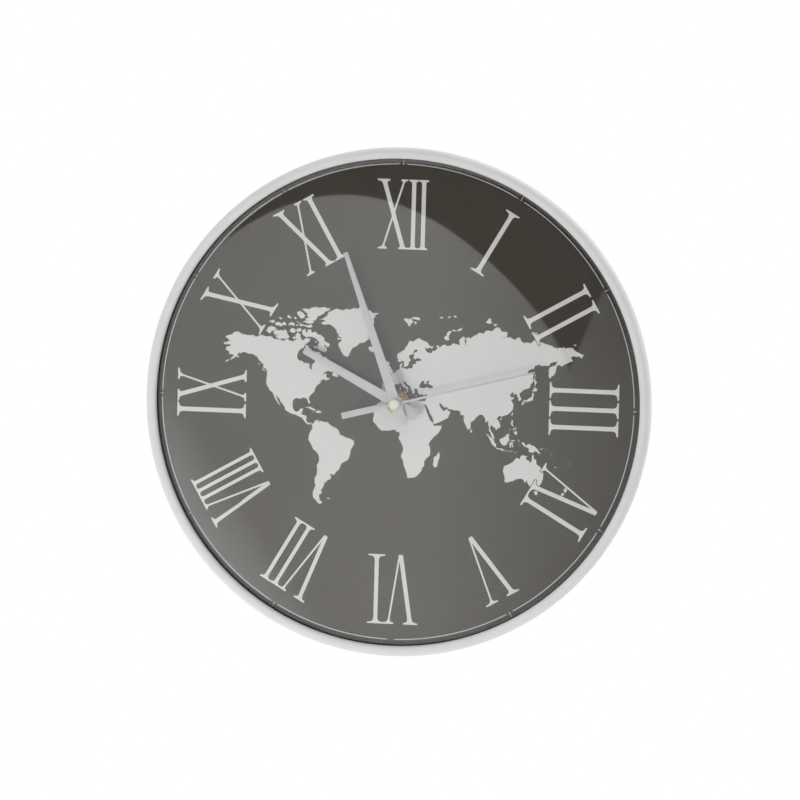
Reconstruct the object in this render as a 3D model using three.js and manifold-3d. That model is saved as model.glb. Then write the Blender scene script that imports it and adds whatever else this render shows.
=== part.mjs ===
// World map wall clock, 300 mm across: a moulded ring, a domed lens, a dial on a ribbed back plate,
// three hands, and a quartz movement with its coil, rotor and gear train. Millimetres.
// Every piece is drawn as seen from the front, X right, Y up and Z out of the wall, with Z 0 on the wall.
// The exported group stands the clock up: its dial faces -Y, and the hands' axis meets the wall
// at the origin.
import * as THREE from "three";
import { mergeVertices } from "three/addons/utils/BufferGeometryUtils.js";
import Module from "manifold-3d";

const wasm = await Module();
wasm.setup();

// Clearances
const SEAT_GAP = 0.3; // between faces that rest on each other
const RUN_GAP = 0.12; // round a post or stem that a wheel turns on
const PIPE_GAP = 0.3; // between pipes that turn inside each other
const EDGE_GAP = 0.4; // round the discs that drop into the ring
const CHAMBER_GAP = 1; // from a wheel to the movement's inside walls
const LENS_CLEARANCE = 1.6; // from a hand to the inside of the lens
const STEM_CLEARANCE = 0.55; // from the setting stem to the centre wheel

// Ring and lens
const CLOCK_RADIUS = 150;
const RING_DRAFT = 0.6; // how much the outside narrows towards the wall
const RING_WALL = 3.2;
const LIP_WIDTH = 6.4;
const LIP_EDGE = 1.2;
const CREST_RISE = 2.2;
const SHOULDER_DROP = 6;
const LUG_COUNT = 8;
const LUG_REACH = 1.8;
const LUG_HEIGHT = 2;
const LUG_LENGTH = 12; // along the ring's wall
const LUG_EDGE_LENGTH = 9.6; // along the lug's free edge
const LENS_THICKNESS = 2;
const FLANGE_THICKNESS = 1.8;
const DOME_INSET = 2.5; // from the lip to the inside foot of the dome

// Dial, back plate and what holds the movement to them
const DIAL_THICKNESS = 0.6;
const PLATE_THICKNESS = 1.8;
const RIB_COUNT = 12;
const RIB_WIDTH = 1.6;
const RIB_HEIGHT = 3;
const RIB_INNER_RADIUS = 52;
const RIB_RING_RADIUS = 98;
const RIB_OUTER_MARGIN = 6;
const CRADLE_WALL = 1.8;
const CRADLE_HEIGHT = 5;
const GASKET_THICKNESS = 0.8;
const GASKET_RADIUS = 12;
const WASHER_RADIUS = 7;
const WASHER_THICKNESS = 0.6;
const NUT_FLATS = 12;
const NUT_HEIGHT = 2.2;
const BUSH_RADIUS = 4;
const BUSH_STAND = 0.6; // past the nut

// Hanger strap
const STRAP_THICKNESS = 0.8;
const STRAP_WIDTH = 20;
const STRAP_TAIL = 11; // below the bush
const STRAP_BEND = 1.6;
const STRAP_CORNER = 5;
const EYE_TAB_HEIGHT = 19;
const EYE_STANDOFF = 2; // from the wall to the eye
const EYE_WIDTH = 12;
const EYE_TOP_WIDTH = 5;
const EYE_HEIGHT = 10;
const EYE_MARGIN = 4; // above the eye

// Movement housing
const MOVEMENT_STANDOFF = 3.6;
const CASE_WALL = 1.5;
const CASE_CORNER = 3;
const COVER_THICKNESS = 1.5;
const CELL_RADIUS = 7.1;
const CELL_LENGTH = 50.5;
const CELL_CLEARANCE = 0.4;
const NUB_RADIUS = 2.75;
const NUB_LENGTH = 1.4;
const CONTACT_SHEET = 0.4;
const CONTACT_WIDTH = 8;
const SPRING_SPACE = 2; // between the negative contact's back and the cell

// Gear train: teeth, then the one module that sizes it
const ROTOR_TEETH = 8;
const INTERMEDIATE_TEETH = 40;
const INTERMEDIATE_PINION_TEETH = 8;
const SECONDS_TEETH = 48;
const SECONDS_PINION_TEETH = 8;
const THIRD_TEETH = 60;
const THIRD_PINION_TEETH = 8;
const CENTRE_TEETH = 64;
const CANNON_TEETH = 10;
const MOTION_TEETH = 30;
const MOTION_PINION_TEETH = 8;
const HOUR_TEETH = 32;
const TRAIN_MODULE = 0.32;
const WHEEL_FORM = { addendum: 0.85, dedendum: 1.15, tipThickness: 0.45, rootThickness: 1.7 };
const PINION_FORM = { addendum: 0.75, dedendum: 1.15, tipThickness: 0.5, rootThickness: 1.2 };
const WHEEL_WIDTH = 1.2;
const LEVEL_GAP = 0.8;
const LEVELS = ["rotor", "seconds", "third", "centre", "cannon", "hour"]; // from the cover
const FIRST_LEVEL = 0.6; // above the cover
const POST_RADIUS = 0.45;
const SLEEVE_RADIUS = 0.9; // of the rotor, round its post
const THIRD_ANGLE = 80;
const MOTION_ANGLE = 10;
const INTERMEDIATE_ANGLE = 190;
const ROTOR_ANGLE = 240; // seen from the intermediate wheel
const STEM_RADIUS = 1.5;
const STEM_PIVOT = 0.8;
const KNOB_RADIUS = 6;
const KNOB_HEIGHT = 2.5;
const KNOB_FLUTES = 18;
const KNOB_FLUTE_DEPTH = 0.5;
const ARBOR_RADIUS = 0.6;
const MINUTE_PIPE_RADIUS = 1.6;
const HOUR_PIPE_WALL = 0.6;

// Motor and electronics
const MAGNET_RADIUS = 3;
const MAGNET_HEIGHT = 2.6;
const AIR_GAP = 0.4;
const STATOR_NECK = 1.2;
const STATOR_THICKNESS = 1;
const STATOR_BAR = 5;
const STATOR_ARM = 3;
const STATOR_CLEARANCE = 0.2; // from the wheels behind it
const STATOR_PEG_INSET = 1.5; // from the bar's edge by the coil
const COIL_RISE = 13; // from the hands' axis up to the stator's top arm
const CORE_WIDTH = 3;
const BARREL_RADIUS = 2.1;
const BOBBIN_RADIUS = 3.1;
const BOBBIN_FLANGE = 0.8;
const WINDING_INSET = 0.3; // below the bobbin's flange
const COIL_GAP = 0.6;
const BOARD_WIDTH = 14;
const BOARD_HEIGHT = 11;
const BOARD_THICKNESS = 1;
const BOARD_STAND = 2;
const BOARD_PEG_INSET = 2;
const CRYSTAL_RADIUS = 1;
const CRYSTAL_LENGTH = 6;
const CRYSTAL_INSET = 2; // from the board's upper edge
const CHIP_RADIUS = 2.4;
const CHIP_HEIGHT = 1;
const CHIP_DROP = 2.75; // below the board's middle
const BOSS_RADIUS = 1.3;
const PEG_RADIUS = 0.6;

// Hands, with their angles clockwise from twelve
const HOUR_HAND = { angle: 297.3, length: 62.9, tail: 14, base: 6.2, tip: 4 };
const MINUTE_HAND = { angle: 339.4, length: 93.4, tail: 13, base: 6.2, tip: 2.7 };
const SECOND_HAND = { angle: 74.6, length: 84.7, tail: 32.7, neck: 1.4, tip: 0.9, bar: 3.8, barStart: 11 };
const HUB_RADIUS = 4.6;
const SECOND_HUB_RADIUS = 2.2;
const COLLET_HEIGHT = 1.9;
const BLADE_THICKNESS = 0.7;
const HAND_SPACING = 0.7;
const CAP_RADIUS = 3;
const CAP_HEIGHT = 2.4;

// Faceting
const ROUND_LARGE = 60;
const ROUND_MEDIUM = 24;
const ROUND_SMALL = 10;
const DOME_STEPS = 5;
const CREST_STEPS = 4;
const CORNER_STEPS = 4;
const MERGE_TOLERANCE = 1e-5;
const OVERCUT = 1; // how far a cutter runs past the face it opens

const TAU = 2 * Math.PI;
const radians = THREE.MathUtils.degToRad;

/** A point at a distance and an angle in radians. */
function polar(distance, angle) {
  return new THREE.Vector2(distance * Math.cos(angle), distance * Math.sin(angle));
}

// Stack of layers, from the wall to the front
const coverInside = MOVEMENT_STANDOFF + COVER_THICKNESS;
const levelPitch = WHEEL_WIDTH + LEVEL_GAP;
const levelsDepth = COVER_THICKNESS + FIRST_LEVEL + LEVELS.length * levelPitch + CASE_WALL;
const bayDepth = 2 * (CELL_RADIUS + CELL_CLEARANCE) + CASE_WALL;
const movementFront = MOVEMENT_STANDOFF + Math.max(levelsDepth, bayDepth);
const caseInside = movementFront - CASE_WALL;
const strapRear = movementFront + SEAT_GAP;
const gasketRear = strapRear + STRAP_THICKNESS + SEAT_GAP;
const plateRear = gasketRear + GASKET_THICKNESS + SEAT_GAP;
const plateFront = plateRear + PLATE_THICKNESS;
const dialRear = plateFront + SEAT_GAP;
const dialFront = dialRear + DIAL_THICKNESS;
const flangeRear = dialFront + SEAT_GAP;
const flangeFront = flangeRear + FLANGE_THICKNESS;
const lipUnder = flangeFront + SEAT_GAP;
const lipFront = lipUnder + LIP_EDGE;
const crestFront = lipFront + CREST_RISE;
const washerRear = dialFront + SEAT_GAP;
const nutRear = washerRear + WASHER_THICKNESS + SEAT_GAP;
const bushFront = nutRear + NUT_HEIGHT + BUSH_STAND;
const hourHandRear = bushFront + SEAT_GAP;
const minuteHandRear = hourHandRear + COLLET_HEIGHT + HAND_SPACING;
const secondHandRear = minuteHandRear + COLLET_HEIGHT + HAND_SPACING;
const capRear = secondHandRear + COLLET_HEIGHT + SEAT_GAP;

/** The rear face of the wheels on one level of the train. */
function levelRear(level) {
  return coverInside + FIRST_LEVEL + LEVELS.indexOf(level) * levelPitch;
}

// Radii that fit inside each other
const ringInside = CLOCK_RADIUS - RING_WALL;
const discRadius = ringInside - EDGE_GAP;
const lipInside = CLOCK_RADIUS - LIP_WIDTH;
const bushHole = BUSH_RADIUS + PIPE_GAP;
const minutePipeBore = ARBOR_RADIUS + PIPE_GAP;
const hourPipeBore = MINUTE_PIPE_RADIUS + PIPE_GAP;
const hourPipeRadius = hourPipeBore + HOUR_PIPE_WALL;
const bushBore = hourPipeRadius + PIPE_GAP;

/** The distance between two meshing toothings of one module. */
function meshDistance(module, teethA, teethB) {
  return (module * (teethA + teethB)) / 2;
}

/** The tip radius of a toothing. */
function tipRadius(module, teeth, form) {
  return module * (teeth / 2 + form.addendum);
}

// Centre distances and modules of the train, all from the train's own module
const thirdDistance = meshDistance(TRAIN_MODULE, SECONDS_PINION_TEETH, THIRD_TEETH);
const centreModule = (2 * thirdDistance) / (THIRD_PINION_TEETH + CENTRE_TEETH);
const secondsTip = thirdDistance - POST_RADIUS - LEVEL_GAP;
const fastModule = secondsTip / (SECONDS_TEETH / 2 + WHEEL_FORM.addendum);
const intermediateDistance = meshDistance(fastModule, INTERMEDIATE_PINION_TEETH, SECONDS_TEETH);
const rotorDistance = meshDistance(fastModule, ROTOR_TEETH, INTERMEDIATE_TEETH);
const centreTip = tipRadius(centreModule, CENTRE_TEETH, WHEEL_FORM);
const thirdTip = tipRadius(TRAIN_MODULE, THIRD_TEETH, WHEEL_FORM);
const motionDistance = centreTip + STEM_RADIUS + STEM_CLEARANCE;
const settingModule = (2 * motionDistance) / (CANNON_TEETH + MOTION_TEETH);
const hourModule = (2 * motionDistance) / (MOTION_PINION_TEETH + HOUR_TEETH);
const motionTip = tipRadius(settingModule, MOTION_TEETH, WHEEL_FORM);
const hourTip = tipRadius(hourModule, HOUR_TEETH, WHEEL_FORM);

// Axes, as points on the dial's plane
const thirdAxis = polar(thirdDistance, radians(THIRD_ANGLE));
const motionAxis = polar(motionDistance, radians(MOTION_ANGLE));
const intermediateAxis = polar(intermediateDistance, radians(INTERMEDIATE_ANGLE));
const rotorAxis = intermediateAxis.clone().add(polar(rotorDistance, radians(ROTOR_ANGLE)));

// Motor layout: a bar with the rotor's bore, and the coil beside it
const statorBore = MAGNET_RADIUS + AIR_GAP;
const statorReach = statorBore + STATOR_NECK;
const statorRear = levelRear("seconds") + WHEEL_WIDTH + STATOR_CLEARANCE;
const statorFront = statorRear + STATOR_THICKNESS;
const statorLeft = rotorAxis.x - statorReach;
const statorBottom = rotorAxis.y - statorReach;
const statorTop = COIL_RISE + STATOR_ARM;
const coilX = statorLeft - COIL_GAP - BOBBIN_RADIUS;
const coilBottom = statorBottom + STATOR_ARM + SEAT_GAP;
const coilTop = COIL_RISE - SEAT_GAP;
const coreRear = statorFront + SEAT_GAP;
const coreMiddle = coreRear + STATOR_THICKNESS / 2;

// Housing outline, from what it has to hold
const springFace = CELL_LENGTH / 2 + SEAT_GAP;
const contactReach = Math.sqrt(CELL_RADIUS ** 2 - (CONTACT_WIDTH / 2) ** 2);
const bayHalf = springFace + SPRING_SPACE + CONTACT_SHEET + SEAT_GAP;
const boardReach = thirdAxis.x + thirdTip + CHAMBER_GAP + BOARD_WIDTH + SEAT_GAP;
const coilReach = BOBBIN_RADIUS - coilX + SEAT_GAP;
const motionReach = motionAxis.x + motionTip + CHAMBER_GAP;
const insideHalf = Math.max(bayHalf, boardReach, coilReach, motionReach);
const insideTop = Math.max(thirdAxis.y + thirdTip, motionAxis.y + motionTip, statorTop) + CHAMBER_GAP;
const insideBottom = Math.min(statorBottom, -centreTip, -hourTip) - CHAMBER_GAP;
const cellY = insideBottom - CASE_WALL - CELL_CLEARANCE - CELL_RADIUS;
const cellZ = caseInside - CELL_CLEARANCE - CELL_RADIUS;
const chamberCorner = CASE_CORNER - CASE_WALL / 2;
const caseHalf = insideHalf + CASE_WALL;
const caseTop = insideTop + CASE_WALL;
const caseBottom = cellY - CELL_RADIUS - CELL_CLEARANCE - CASE_WALL;

// Board in the upper right corner of the chamber
const boardRear = coverInside + BOARD_STAND;
const boardFront = boardRear + BOARD_THICKNESS;
const boardX = insideHalf - SEAT_GAP - BOARD_WIDTH / 2;
const boardY = insideTop - SEAT_GAP - BOARD_HEIGHT / 2;
const boardPegs = [-1, 1].map(
  (side) => new THREE.Vector2(boardX + side * (BOARD_WIDTH / 2 - BOARD_PEG_INSET), boardY),
);
const statorPegs = [statorBottom, COIL_RISE].map(
  (armBottom) => new THREE.Vector2(statorLeft + STATOR_PEG_INSET, armBottom + STATOR_ARM / 2),
);

// Heights that the turning pieces share
const postBore = POST_RADIUS + RUN_GAP;
const stemShoulder = levelRear("hour") + WHEEL_WIDTH + SEAT_GAP;
const stemRear = MOVEMENT_STANDOFF - SEAT_GAP;
const magnetMiddle = (statorRear + statorFront) / 2;
const magnetRear = magnetMiddle - MAGNET_HEIGHT / 2;
const minutePipeFront = minuteHandRear + COLLET_HEIGHT + SEAT_GAP;
const hourPipeFront = hourHandRear + COLLET_HEIGHT + SEAT_GAP;
const arborFront = secondHandRear + COLLET_HEIGHT;

/** Corner points of a regular polygon that stands for a circle. */
function circle(radius, sides, x = 0, y = 0) {
  return Array.from({ length: sides }, (_, side) => polar(radius, (TAU * side) / sides).add({ x, y }));
}

/** Corner points of a rectangle with rounded corners. */
function roundedRectangle(left, bottom, right, top, corner) {
  const corners = [
    [right - corner, top - corner],
    [left + corner, top - corner],
    [left + corner, bottom + corner],
    [right - corner, bottom + corner],
  ];
  return corners.flatMap(([x, y], quarter) =>
    Array.from({ length: CORNER_STEPS + 1 }, (_, step) =>
      polar(corner, (TAU / 4) * (quarter + step / CORNER_STEPS)).add({ x, y }),
    ),
  );
}

/** A flat outline with holes, extruded between two heights. */
function extruded(outline, rear, front, holes = []) {
  const shape = new THREE.Shape(outline);
  shape.holes = holes.map((hole) => new THREE.Path(hole));
  const geometry = new THREE.ExtrudeGeometry(shape, { depth: front - rear, bevelEnabled: false });
  return geometry.translate(0, 0, rear);
}

/** A profile of radius and height turned about Z. */
function turned(profile, sides) {
  const closed = THREE.ShapeUtils.isClockWise(profile) ? [...profile].reverse() : profile;
  return new THREE.LatheGeometry(closed, sides).rotateX(TAU / 4);
}

/** A solid cylinder along Z. */
function rod(radius, rear, front, sides) {
  return extruded(circle(radius, sides), rear, front);
}

/** A tube along Z. */
function tube(radius, bore, rear, front, sides) {
  return extruded(circle(radius, sides), rear, front, [circle(bore, sides)]);
}

/** Both edges of a bent strip, from the line that its middle follows. */
function stripOutline(points, thickness) {
  const sideOf = (from, to) => new THREE.Vector2(from.y - to.y, to.x - from.x).normalize();
  const offsets = points.map((point, index) => {
    const before = sideOf(points[Math.max(index - 1, 0)], points[Math.max(index, 1)]);
    const last = points.length - 1;
    const after = sideOf(points[Math.min(index, last - 1)], points[Math.min(index + 1, last)]);
    const mitre = before.clone().add(after).normalize();
    return mitre.multiplyScalar(thickness / 2 / mitre.dot(before));
  });
  const left = points.map((point, index) => point.clone().add(offsets[index]));
  const right = points.map((point, index) => point.clone().sub(offsets[index]));
  return [...left, ...right.reverse()];
}

/** A line with its inner corners rounded by arcs of chords. */
function bentLine(points, radius) {
  return points.flatMap((point, index) => {
    if (index === 0 || index === points.length - 1) {
      return [point];
    }
    const into = points[index - 1].clone().sub(point).setLength(radius).add(point);
    const out = points[index + 1].clone().sub(point).setLength(radius).add(point);
    return new THREE.QuadraticBezierCurve(into, point, out).getPoints(CORNER_STEPS);
  });
}

/** A closed geometry as a solid that can be joined and cut. */
function solidOf(geometry) {
  const bare = geometry.clone();
  bare.deleteAttribute("normal");
  bare.deleteAttribute("uv");
  const merged = mergeVertices(bare, MERGE_TOLERANCE);
  const corners = merged.index.array;
  const kept = [];
  for (let at = 0; at < corners.length; at += 3) {
    const [a, b, c] = corners.slice(at, at + 3);
    if (a !== b && b !== c && c !== a) {
      kept.push(a, b, c);
    }
  }
  const vertProperties = new Float32Array(merged.attributes.position.array);
  return new wasm.Manifold(new wasm.Mesh({ numProp: 3, vertProperties, triVerts: new Uint32Array(kept) }));
}

/** Geometries joined into one, less the cutters. */
function joined(geometries, cutters = []) {
  let solid = geometries.map(solidOf).reduce((whole, next) => whole.add(next));
  for (const cutter of cutters) {
    solid = solid.subtract(solidOf(cutter));
  }
  return geometryOf(solid);
}

/** What two geometries have in common. */
function common(geometryA, geometryB) {
  return geometryOf(solidOf(geometryA).intersect(solidOf(geometryB)));
}

/** A solid's faces as a geometry. */
function geometryOf(solid) {
  const { vertProperties, triVerts } = solid.getMesh();
  const geometry = new THREE.BufferGeometry();
  geometry.setAttribute("position", new THREE.BufferAttribute(vertProperties, 3));
  geometry.setIndex(new THREE.BufferAttribute(triVerts, 1));
  return geometry;
}

/** The outline of a wheel or pinion, with a tooth's middle at angle 0. */
function toothedOutline(module, teeth, form) {
  const root = module * (teeth / 2 - form.dedendum);
  const tip = tipRadius(module, teeth, form);
  const rootHalf = (form.rootThickness * module) / root / 2;
  const tipHalf = (form.tipThickness * module) / tip / 2;
  return Array.from({ length: teeth }, (_, tooth) => (TAU * tooth) / teeth).flatMap((middle) => [
    polar(root, middle - rootHalf),
    polar(tip, middle - tipHalf),
    polar(tip, middle + tipHalf),
    polar(root, middle + rootHalf),
  ]);
}

/** A toothing between two heights, turned to its phase and bored. */
function toothing(module, teeth, form, rear, front, phase, bore) {
  const wheel = extruded(toothedOutline(module, teeth, form), rear, front).rotateZ(phase);
  return bore ? joined([wheel], [rod(bore, rear - OVERCUT, front + OVERCUT, ROUND_SMALL)]) : wheel;
}

/** The phase that puts a gap of toothing B where a tooth of toothing A stands, B lying at an angle from A. */
function meshPhase(teethA, phaseA, teethB, angle) {
  return angle + Math.PI + Math.PI / teethB - (teethA / teethB) * (phaseA - angle);
}

// Phases at rest: every driving toothing has a tooth at angle 0
const secondsPhase = 0;
const intermediatePinionPhase = meshPhase(
  SECONDS_TEETH,
  secondsPhase,
  INTERMEDIATE_PINION_TEETH,
  radians(INTERMEDIATE_ANGLE),
);
const rotorPhase = meshPhase(INTERMEDIATE_TEETH, 0, ROTOR_TEETH, radians(ROTOR_ANGLE));
const thirdPhase = meshPhase(SECONDS_PINION_TEETH, 0, THIRD_TEETH, radians(THIRD_ANGLE));
const centrePhase = meshPhase(THIRD_PINION_TEETH, 0, CENTRE_TEETH, radians(THIRD_ANGLE) + Math.PI);
const motionPhase = meshPhase(CANNON_TEETH, 0, MOTION_TEETH, radians(MOTION_ANGLE));
const hourPhase = meshPhase(MOTION_PINION_TEETH, 0, HOUR_TEETH, radians(MOTION_ANGLE) + Math.PI);

/** The moulded ring: a turned section with a rounded crest and lip, and lugs that hold the plate in. */
function frameRing() {
  const section = new THREE.Path();
  section.moveTo(ringInside, 0);
  section.lineTo(CLOCK_RADIUS - RING_DRAFT, 0);
  section.lineTo(CLOCK_RADIUS, crestFront - SHOULDER_DROP);
  section.quadraticCurveTo(CLOCK_RADIUS, crestFront, CLOCK_RADIUS - LIP_WIDTH / 2, crestFront);
  section.quadraticCurveTo(lipInside + LIP_EDGE / 2, crestFront, lipInside, lipFront);
  section.lineTo(lipInside, lipUnder);
  section.lineTo(ringInside, lipUnder);
  section.lineTo(ringInside, 0);
  const lugFront = plateRear - SEAT_GAP;
  const lugRoot = ringInside + RING_WALL / 2;
  const lugEdge = ringInside - LUG_REACH;
  const rootHalf = LUG_LENGTH / ringInside / 2;
  const edgeHalf = LUG_EDGE_LENGTH / lugEdge / 2;
  const lugOutline = [
    polar(lugRoot, -rootHalf),
    polar(lugRoot, rootHalf),
    polar(lugEdge, edgeHalf),
    polar(lugEdge, 0),
    polar(lugEdge, -edgeHalf),
  ];
  const lugs = Array.from({ length: LUG_COUNT }, (_, lug) =>
    extruded(lugOutline, lugFront - LUG_HEIGHT, lugFront).rotateZ((TAU * (lug + 0.5)) / LUG_COUNT),
  );
  return joined([turned(section.getPoints(CREST_STEPS), ROUND_LARGE), ...lugs]);
}

/** The rise of the dome that clears every hand and the cap. */
function domeRise(foot) {
  const tops = [
    [HOUR_HAND.length, hourHandRear + COLLET_HEIGHT],
    [MINUTE_HAND.length, minuteHandRear + COLLET_HEIGHT],
    [SECOND_HAND.length, secondHandRear + BLADE_THICKNESS],
    [CAP_RADIUS, capRear + CAP_HEIGHT],
  ];
  return Math.max(
    ...tops.map(([reach, top]) => (top + LENS_CLEARANCE - flangeRear) / (1 - (reach / foot) ** 2)),
  );
}

/** The domed lens: two round caps about one centre, and a flange that sits under the lip. */
function lens() {
  const foot = lipInside - DOME_INSET;
  const rise = domeRise(foot);
  const insideRadius = (foot ** 2 + rise ** 2) / (2 * rise);
  const outsideRadius = insideRadius + LENS_THICKNESS;
  const centre = flangeRear + rise - insideRadius;
  const insideArc = Math.asin(foot / insideRadius);
  const outsideArc = Math.acos((flangeFront - centre) / outsideRadius);
  const arc = (radius, span) =>
    Array.from({ length: DOME_STEPS + 1 }, (_, step) => {
      const angle = (span * step) / DOME_STEPS;
      return new THREE.Vector2(radius * Math.sin(angle), centre + radius * Math.cos(angle));
    });
  const profile = [
    ...arc(outsideRadius, outsideArc),
    new THREE.Vector2(discRadius, flangeFront),
    new THREE.Vector2(discRadius, flangeRear),
    ...arc(insideRadius, insideArc).reverse(),
  ];
  return turned(profile, ROUND_LARGE);
}

/** The dial card. */
function dial() {
  return extruded(circle(discRadius, ROUND_LARGE), dialRear, dialFront, [circle(bushHole, ROUND_MEDIUM)]);
}

/** The back plate: a disc with spokes, a ring rib and a cradle round the movement, open for the strap. */
function backPlate() {
  const ribRear = plateRear - RIB_HEIGHT;
  const inside = PLATE_THICKNESS / 2;
  const ribFront = plateRear + inside;
  const ribLength = discRadius - RIB_OUTER_MARGIN - RIB_INNER_RADIUS;
  const ribs = Array.from({ length: RIB_COUNT }, (_, rib) =>
    new THREE.BoxGeometry(ribLength, RIB_WIDTH, RIB_HEIGHT + inside)
      .translate(RIB_INNER_RADIUS + ribLength / 2, 0, (ribRear + ribFront) / 2)
      .rotateZ((TAU * rib) / RIB_COUNT),
  );
  const ringRib = tube(RIB_RING_RADIUS, RIB_RING_RADIUS - RIB_WIDTH, ribRear, ribFront, ROUND_LARGE);
  const grow = (by) =>
    roundedRectangle(-caseHalf - by, caseBottom - by, caseHalf + by, caseTop + by, CASE_CORNER + by);
  const cradleRear = plateRear - CRADLE_HEIGHT;
  const cradle = extruded(grow(SEAT_GAP + CRADLE_WALL), cradleRear, ribFront, [grow(SEAT_GAP)]);
  const gapWidth = STRAP_WIDTH + 2 * EDGE_GAP;
  const strapGap = new THREE.BoxGeometry(gapWidth, CRADLE_WALL + 2 * OVERCUT, CRADLE_HEIGHT);
  strapGap.translate(0, caseTop + SEAT_GAP + CRADLE_WALL / 2, plateRear - CRADLE_HEIGHT / 2);
  const disc = extruded(circle(discRadius, ROUND_LARGE), plateRear, plateFront, [
    circle(bushHole, ROUND_MEDIUM),
  ]);
  return joined([disc, ringRib, ...ribs, cradle], [strapGap]);
}

/** The steel strap: flat under the bush, bent back over the movement and up again to its eye. */
function hanger() {
  const middle = strapRear + STRAP_THICKNESS / 2;
  const back = EYE_STANDOFF + STRAP_THICKNESS / 2;
  const over = caseTop + SEAT_GAP + STRAP_THICKNESS / 2;
  const tabTop = over + EYE_TAB_HEIGHT;
  const line = [
    new THREE.Vector2(-STRAP_TAIL, middle),
    new THREE.Vector2(over, middle),
    new THREE.Vector2(over, back),
    new THREE.Vector2(tabTop, back),
  ];
  const strip = extruded(
    stripOutline(bentLine(line, STRAP_BEND), STRAP_THICKNESS),
    -STRAP_WIDTH / 2,
    STRAP_WIDTH / 2,
  );
  strip.applyMatrix4(new THREE.Matrix4().makeBasis(...["y", "z", "x"].map(unit)));
  const half = STRAP_WIDTH / 2;
  const plan = extruded(
    roundedRectangle(-half, -STRAP_TAIL, half, tabTop, STRAP_CORNER),
    EYE_STANDOFF - OVERCUT,
    gasketRear,
  );
  const eyeTop = tabTop - EYE_MARGIN;
  const eye = [
    new THREE.Vector2(-EYE_WIDTH / 2, eyeTop - EYE_HEIGHT),
    new THREE.Vector2(EYE_WIDTH / 2, eyeTop - EYE_HEIGHT),
    new THREE.Vector2(EYE_TOP_WIDTH / 2, eyeTop),
    new THREE.Vector2(-EYE_TOP_WIDTH / 2, eyeTop),
  ];
  const cutters = [
    rod(bushHole, strapRear - OVERCUT, strapRear + STRAP_THICKNESS + OVERCUT, ROUND_MEDIUM),
    extruded(eye, EYE_STANDOFF - OVERCUT, EYE_STANDOFF + STRAP_THICKNESS + OVERCUT),
  ];
  return joined([common(strip, plan)], cutters);
}

/** The unit vector of an axis. */
function unit(axis) {
  return new THREE.Vector3().set(Number(axis === "x"), Number(axis === "y"), Number(axis === "z"));
}

/** A cylinder along X through the battery bay. */
function alongBay(radius, left, right, sides) {
  const across = new THREE.Matrix4().makeBasis(unit("y"), unit("z"), unit("x"));
  return rod(radius, left, right, sides).applyMatrix4(across).translate(0, cellY, cellZ);
}

/** The movement's front housing: chamber, battery bay, threaded bush and the stem's front bearing. */
function movementCase() {
  const outline = roundedRectangle(-caseHalf, caseBottom, caseHalf, caseTop, CASE_CORNER);
  const shell = extruded(outline, MOVEMENT_STANDOFF, movementFront);
  const bush = rod(BUSH_RADIUS, caseInside, bushFront, ROUND_MEDIUM);
  const stemEnd = caseInside + CASE_WALL / 2;
  const stemBoss = rod(STEM_RADIUS + RUN_GAP + CASE_WALL / 2, stemShoulder, stemEnd, ROUND_SMALL);
  stemBoss.translate(motionAxis.x, motionAxis.y, 0);
  const stemHole = rod(STEM_PIVOT + RUN_GAP, stemShoulder - OVERCUT, stemEnd, ROUND_SMALL);
  stemHole.translate(motionAxis.x, motionAxis.y, 0);
  const chamber = extruded(
    roundedRectangle(-insideHalf, insideBottom, insideHalf, insideTop, chamberCorner),
    MOVEMENT_STANDOFF - OVERCUT,
    caseInside,
  );
  const coverSeat = extruded(
    roundedRectangle(
      -caseHalf - OVERCUT,
      insideBottom - CASE_WALL / 2,
      caseHalf + OVERCUT,
      caseTop + OVERCUT,
      OVERCUT,
    ),
    MOVEMENT_STANDOFF - OVERCUT,
    coverInside + SEAT_GAP,
  );
  const bayRadius = CELL_RADIUS + CELL_CLEARANCE;
  const bayRound = alongBay(bayRadius, -bayHalf, bayHalf, ROUND_MEDIUM);
  const bayMouth = new THREE.BoxGeometry(2 * bayHalf, 2 * bayRadius, cellZ - MOVEMENT_STANDOFF + OVERCUT);
  bayMouth.translate(0, cellY, (cellZ + MOVEMENT_STANDOFF - OVERCUT) / 2);
  const bushBoring = rod(bushBore, caseInside - OVERCUT, bushFront + OVERCUT, ROUND_MEDIUM);
  const bare = joined([shell], [chamber, coverSeat, bayRound, bayMouth]);
  return joined([bare, bush, stemBoss], [bushBoring, stemHole]);
}

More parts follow.
